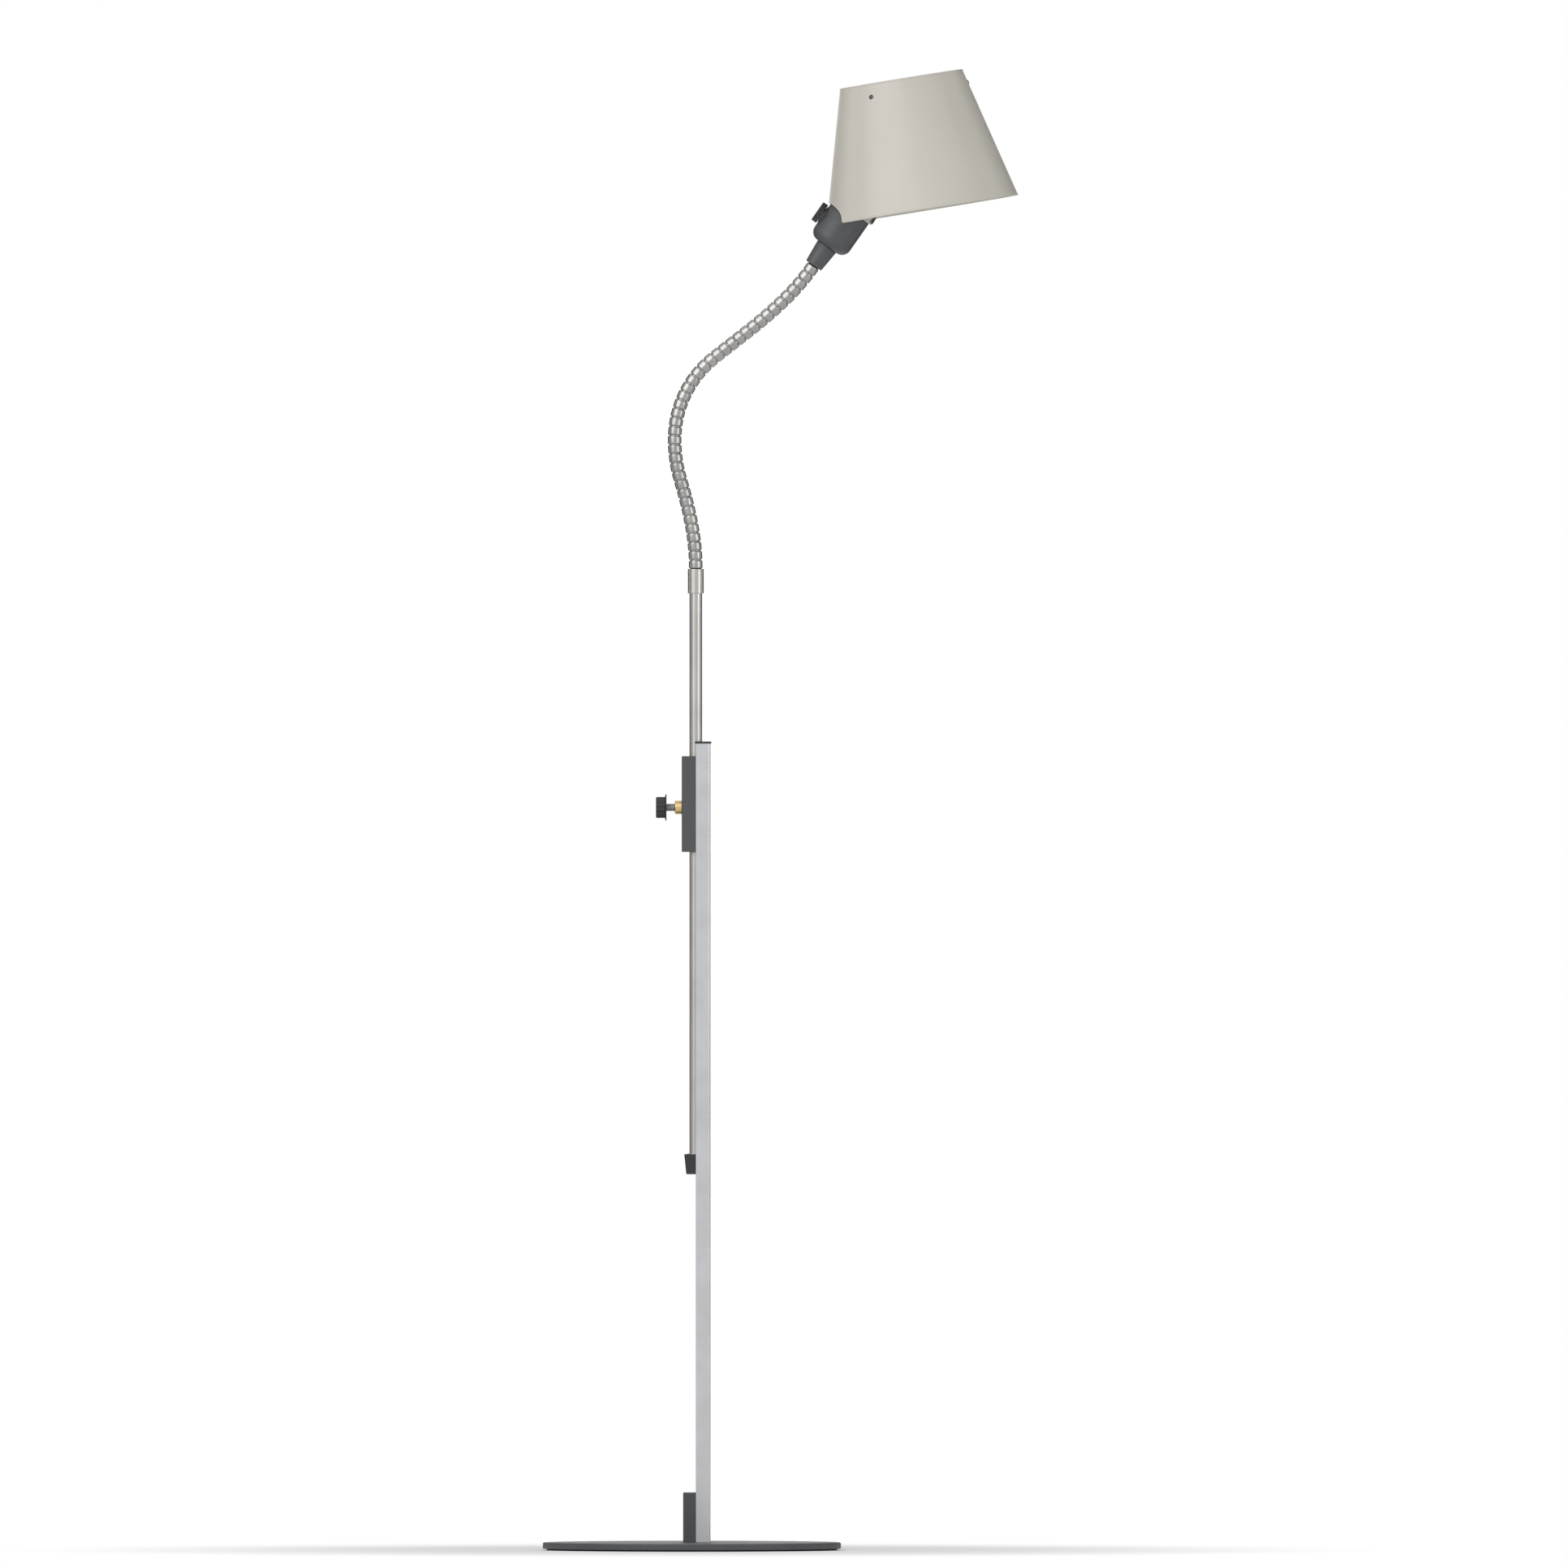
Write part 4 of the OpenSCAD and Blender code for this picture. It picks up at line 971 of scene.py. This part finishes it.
def make_shade_edges():
    """One rolled edge follows the mouth and rises over the arch, one goes round the top."""
    inwards = LEVEL_WALL / 2
    foot = math.asin(ARCH_WIDTH / 2 / SHADE_MOUTH)
    mouth = []
    for i in range(241):
        angle = -math.pi + foot + (2 * math.pi - 2 * foot) * i / 240
        mouth.append(Vector((*polar(SHADE_MOUTH - inwards, angle), 0)))
    for i in range(1, 96):
        angle = math.pi * i / 96
        height = ARCH_HEIGHT * math.sin(angle)
        across = ARCH_WIDTH / 2 * math.cos(angle)
        reach = shade_radius(height) - inwards
        mouth.append(Vector((-math.sqrt(reach ** 2 - across ** 2), across, height)))
    edges = Mesh()
    bead = 1.0 * MM
    rolled_edge(edges, smoothed(mouth, 3), bead)
    rolled_edge(edges, circle(SHADE_TOP - inwards, SHADE_TALL, 192), bead)
    dress(edges.made("shade_beads", SHADE), "head", SHADE_OUTSIDE, "shade")


# Carrier inside the shade: bracket and spider are strips, screwed together at the spider's hub
HUB_TOP = span("shade_spider", SHADE)[0].z + STRAP_THICK
HUB_SCREW_R = 2.5 * MM
TAB_GAP = 0.5 * MM
# An outline of x and y stands upright in x and z, and its prism runs across
UPRIGHT = Matrix.Rotation(math.pi / 2, 4, "X")


def strip_outline(path, thick, bend):
    """Closed outline of a strip round a path of corners, its bends rounded."""
    line = rounded([(p[0], p[1], bend) for p in path], 8, closed=False)
    sides = [[], []]
    for i, here in enumerate(line):
        before = (here - line[max(i - 1, 0)]).normalized()
        after = (line[min(i + 1, len(line) - 1)] - here).normalized()
        along = (before + after).normalized()
        across = Vector((-along.y, along.x)) * thick / 2
        sides[0].append(here - across)
        sides[1].append(here + across)
    return sides[0] + sides[1][::-1]


def make_bracket():
    """A plate under the ring nut, and a strip from it up the shade to the hub."""

    def to_head(x, z):
        place = HEAD.inverted() @ SHADE @ Vector((x, 0, z))
        return place.x, place.z

    seat = span("lock_ring", HEAD)[0].z
    bottom = seat - STRAP_THICK
    plate = tube(HOLDER_HOLE, 24.5 * MM, bottom, seat, STRAP_EDGE, STRAP_EDGE)
    bracket = Mesh().turned(plate, 128, wrap=True).made("bracket_piece", HEAD)
    start, wall_room, past_hub = -22.55 * MM, 9 * MM, 8.25 * MM
    under = HUB_TOP - 1.5 * STRAP_THICK - 0.05 * MM
    path = [
        (start, bottom + STRAP_THICK / 2),
        to_head(wall_room - shade_radius(under + STRAP_THICK / 2), under), to_head(past_hub, under)
    ]
    strip = Mesh()
    strip.axes = UPRIGHT
    half = STRAP_WIDTH / 2
    strip.prism(strip_outline(path, STRAP_THICK, 3 * MM), -half, half, STRAP_EDGE)
    combine(bracket, [strip.made("strip", HEAD)], "UNION")
    combine(bracket, [bore(SHADE, HUB_SCREW_R + 0.05 * MM, under - 2 * MM, under + 2 * MM, 48)])
    dress(bracket, "head", NICKEL_PLAIN, "shade_bracket")


def rivet_profile():
    """From the tail behind a tab to the dome outside the shade, with z = 0 on the shade."""
    head, shank, dome = 2.5 * MM, 1.6 * MM, 0.9 * MM
    seat = -(SHADE_WALL + TAB_GAP + STRAP_THICK)
    tail = seat - 1.0 * MM
    made = [
        (0, tail), (head - 0.2 * MM, tail), (head, tail + 0.4 * MM),
        (head, seat), (shank, seat), (shank, 0)
    ]
    for i in range(6):
        angle = math.pi / 2 * i / 6
        made.append((head * math.cos(angle), dome * math.sin(angle)))
    return made + [(0, dome)]


def make_spider():
    """Three arms from the hub with tabs up the shade's wall, and the rivets through them."""
    bottom = HUB_TOP - STRAP_THICK
    hub, arm_start, tab = 11 * MM, 9 * MM, 11 * MM
    spider = Mesh().turned(rounded([
        (HUB_SCREW_R, bottom), (hub, bottom, STRAP_EDGE), (hub, HUB_TOP, STRAP_EDGE),
        (HUB_SCREW_R, HUB_TOP)
    ], 3), 96, wrap=True)
    reach = shade_radius(bottom) - LEVEL_WALL - TAB_GAP - STRAP_THICK / 2
    corner = Vector((reach, HUB_TOP - STRAP_THICK / 2))
    up_wall = Vector((-math.sin(SHADE_CONE), math.cos(SHADE_CONE)))
    path = [(arm_start, corner.y), corner, corner + tab * up_wall]
    outline = strip_outline(path, STRAP_THICK - 0.1 * MM, 2 * MM)
    half = STRAP_WIDTH / 2
    rivet_z = SHADE_TALL - RIVET_DROP
    rivet = shift(shade_radius(rivet_z), 0, rivet_z) @ spin_y(math.pi / 2 - SHADE_CONE)
    rivets = Mesh()
    for arm in SPIDER_ARMS:
        turn = Matrix.Rotation(arm * DEG, 4, "Z")
        spider.axes = turn @ UPRIGHT
        spider.prism(outline, -half, half, STRAP_EDGE)
        rivets.axes = turn @ rivet
        rivets.turned(rivet_profile(), 40)
    dress(spider.made("spider_piece", SHADE), "head", NICKEL_PLAIN, "shade_spider")
    dress(rivets.made("rivet_heads", SHADE), "head", GRAPHITE, "shade_rivets")


def make_hub_screw():
    low, high = span("hub_screw", SHADE)
    head, seat = 4.5 * MM, low.z + 2.2 * MM
    screw = Mesh().turned(rounded([
        (0, low.z), (head, low.z, 1.6 * MM), (head, seat, 0.3 * MM), (HUB_SCREW_R, seat),
        (HUB_SCREW_R, high.z, 0.4 * MM), (0, high.z)
    ], 5, closed=False), 72).made("hub_bolt", SHADE)
    far, near = 2.2 * MM, 0.5 * MM
    slot = rounded([(-far, -near), (far, -near), (far, near), (-far, near)])
    ends = [level(slot, low.z - MM), level(slot, low.z + 1.1 * MM)]
    turns = [SHADE @ Matrix.Rotation(turn, 4, "Z") for turn in (0, math.pi / 2)]
    combine(screw, [Mesh().loft(ends).made("recess", place) for place in turns])
    dress(screw, "head", ZINC, "hub_screw")


def make_hub_nut():
    """A domed nut with a flange."""
    low, high = span("hub_nut", SHADE)
    flange, flange_top = 6.5 * MM, low.z + 1.2 * MM
    dome, dome_high = 4.1 * MM, 2.0 * MM
    # Millimetres from the hexagon's middle to its softened corners and its flats
    corner, flat = 4.9, 4.4
    count, steps = 96, 9
    hexagon = []
    for i in range(count):
        angle = 2 * math.pi * i / count
        off = (angle + math.pi / 6) % (math.pi / 3) - math.pi / 6
        reach = min(corner, flat / math.cos(off))
        hexagon.append(Vector(polar(1, angle)) * reach * MM)
    loops = [
        circle(HUB_SCREW_R + 0.05 * MM, low.z, count), circle(flange - 0.2 * MM, low.z, count),
        circle(flange, low.z + 0.2 * MM, count), circle(flange, flange_top - 0.3 * MM, count),
        circle(flange - 0.5 * MM, flange_top, count), level(hexagon, flange_top + 0.4 * MM),
        level(hexagon, high.z - dome_high - 0.2 * MM)
    ]
    for i in range(steps):
        angle = math.pi / 2 * i / steps
        height = high.z - dome_high + dome_high * math.sin(angle)
        loops.append(circle(dome * math.cos(angle), height, count))
    nut = Mesh().loft(loops + [tip(high.z)], caps=False)
    nut.flat(nut.bm.verts[:][:count][::-1])
    dress(nut.made("cap_nut", SHADE), "head", NICKEL_PLAIN, "hub_nut")


make_base()
make_pad()
make_channel()
make_channel_screws()
make_foot_block()
make_clamp_block()
make_bushes()
make_cap()
make_boss()
make_stud()
make_knob()
make_rod()
make_plug()
make_ferrule()
make_shoe()
make_neck()
make_collar()
make_cup()
make_ring()
make_lock_ring()
make_switch()
make_holder()
make_bulb()
make_shade()
make_shade_edges()
make_bracket()
make_spider()
make_hub_screw()
make_hub_nut()

# Frame nodes that keep their own shape
KEPT = {
    "base_screws": ZINC, "rod_clip": ZINC, "neck_adaptor": ZINC, "switch_shaft": ZINC,
    "brake_pad": NYLON, "nipple": BRASS_PLAIN, "nipple_nut": BRASS_PLAIN,
    "screw_shell": BRASS_PLAIN, "centre_contact": BRASS_PLAIN, "switch_body": BLACK_PLASTIC,
    "switch_bezel": NICKEL_PLAIN, "bulb_cap": NICKEL_PLAIN
}
for node, material in KEPT.items():
    NODES[node].data.materials.clear()
    NODES[node].data.materials.append(material)


# Stage: a pale floor that turns into the white background, soft light, dark cards for the metal
def sees_white(tree):
    """1 for the camera, glossy and transmission rays, which see the white background."""
    path = tree.nodes.new("ShaderNodeLightPath")
    seen = path.outputs["Is Camera Ray"]
    for ray in ("Is Glossy Ray", "Is Transmission Ray"):
        either = tree.nodes.new("ShaderNodeMath")
        either.operation = "MAXIMUM"
        tree.links.new(seen, either.inputs[0])
        tree.links.new(path.outputs[ray], either.inputs[1])
        seen = either.outputs["Value"]
    return seen


def make_floor():
    """The floor is lit as it is near the base and turns white further out."""
    s = Shader("floor_white", Roughness=0.9, Specular_IOR_Level=0.1)
    s.principled.inputs["Base Color"].default_value = (0.90, 0.90, 0.90, 1)
    where = s.node("NewGeometry")
    apart = s.node("VectorMath", operation="LENGTH")
    s.link(where.outputs["Position"], apart.inputs[0])
    fade = s.node("MapRange", interpolation_type="SMOOTHSTEP")
    fade.inputs["From Min"].default_value = 0.2
    fade.inputs["From Max"].default_value = 0.75
    s.link(apart.outputs["Value"], fade.inputs["Value"])
    share = s.node("Math", operation="MULTIPLY")
    s.link(fade.outputs["Result"], share.inputs[0])
    s.link(sees_white(s.tree), share.inputs[1])
    white = s.node("Emission")
    mix = s.node("MixShader")
    s.link(share.outputs["Value"], mix.inputs["Fac"])
    s.link(s.principled.outputs["BSDF"], mix.inputs[1])
    s.link(white.outputs["Emission"], mix.inputs[2])
    s.link(mix.outputs["Shader"], s.tree.nodes["Material Output"].inputs["Surface"])
    ground = -0.05 * MM
    floor = Mesh().loft([circle(60, ground, 128), tip(ground)], caps=False).made("floor")
    floor.data.materials.append(s.material)


def make_card(name, place, width, height):
    """A dark card that only reflections see."""
    s = Shader(name + "_black", Roughness=1.0)
    s.principled.inputs["Base Color"].default_value = (0.01, 0.01, 0.01, 1)
    x, y = width / 2, height / 2
    card = Mesh()
    card.flat([card.bm.verts.new(p) for p in ((-x, -y, 0), (x, -y, 0), (x, y, 0), (-x, y, 0))])
    card = card.made(name, place)
    card.data.materials.append(s.material)
    card.visible_camera = False
    card.visible_diffuse = False
    card.visible_shadow = False


def make_light(name, place, size, power):
    """A round lamp that points at the object's middle."""
    data = bpy.data.lights.new(name, "AREA")
    data.shape = "DISK"
    data.size = size
    data.energy = power
    light = bpy.data.objects.new(name, data)
    light.location = place
    light.rotation_euler = (Vector((0, 0, 0.8)) - Vector(place)).to_track_quat("-Z", "Y").to_euler()
    bpy.context.scene.collection.objects.link(light)


def make_world():
    """White where it is seen, and half as strong as a light."""
    world = bpy.data.worlds.new("studio")
    bpy.context.scene.world = world
    world.use_nodes = True
    tree = world.node_tree
    tree.nodes.clear()
    mix = tree.nodes.new("ShaderNodeMixShader")
    tree.links.new(sees_white(tree), mix.inputs["Fac"])
    for socket, strength in ((1, 0.5), (2, 1.0)):
        sky = tree.nodes.new("ShaderNodeBackground")
        sky.inputs["Color"].default_value = (1, 1, 1, 1)
        sky.inputs["Strength"].default_value = strength
        tree.links.new(sky.outputs["Background"], mix.inputs[socket])
    output = tree.nodes.new("ShaderNodeOutputWorld")
    tree.links.new(mix.outputs["Shader"], output.inputs["Surface"])


make_floor()
make_world()
make_light("key", (-1.9, -2.5, 2.7), 4.0, 70)
make_light("fill", (2.4, -1.6, 1.2), 1.8, 14)

# Cards round the lamp: degrees from the front, and width
CARDS = {"left": (222, 1.5), "right": (138, 1.5), "near_left": (278, 0.5), "near_right": (82, 0.5)}
for name, (angle, width) in CARDS.items():
    around = Matrix.Rotation(angle * DEG, 4, "Z")
    upright = shift(0, -1.9, 1.0) @ Matrix.Rotation(math.pi / 2, 4, "X")
    make_card("card_" + name, around @ upright, width, 3.2)
bpy.context.scene.view_settings.view_transform = "Standard"
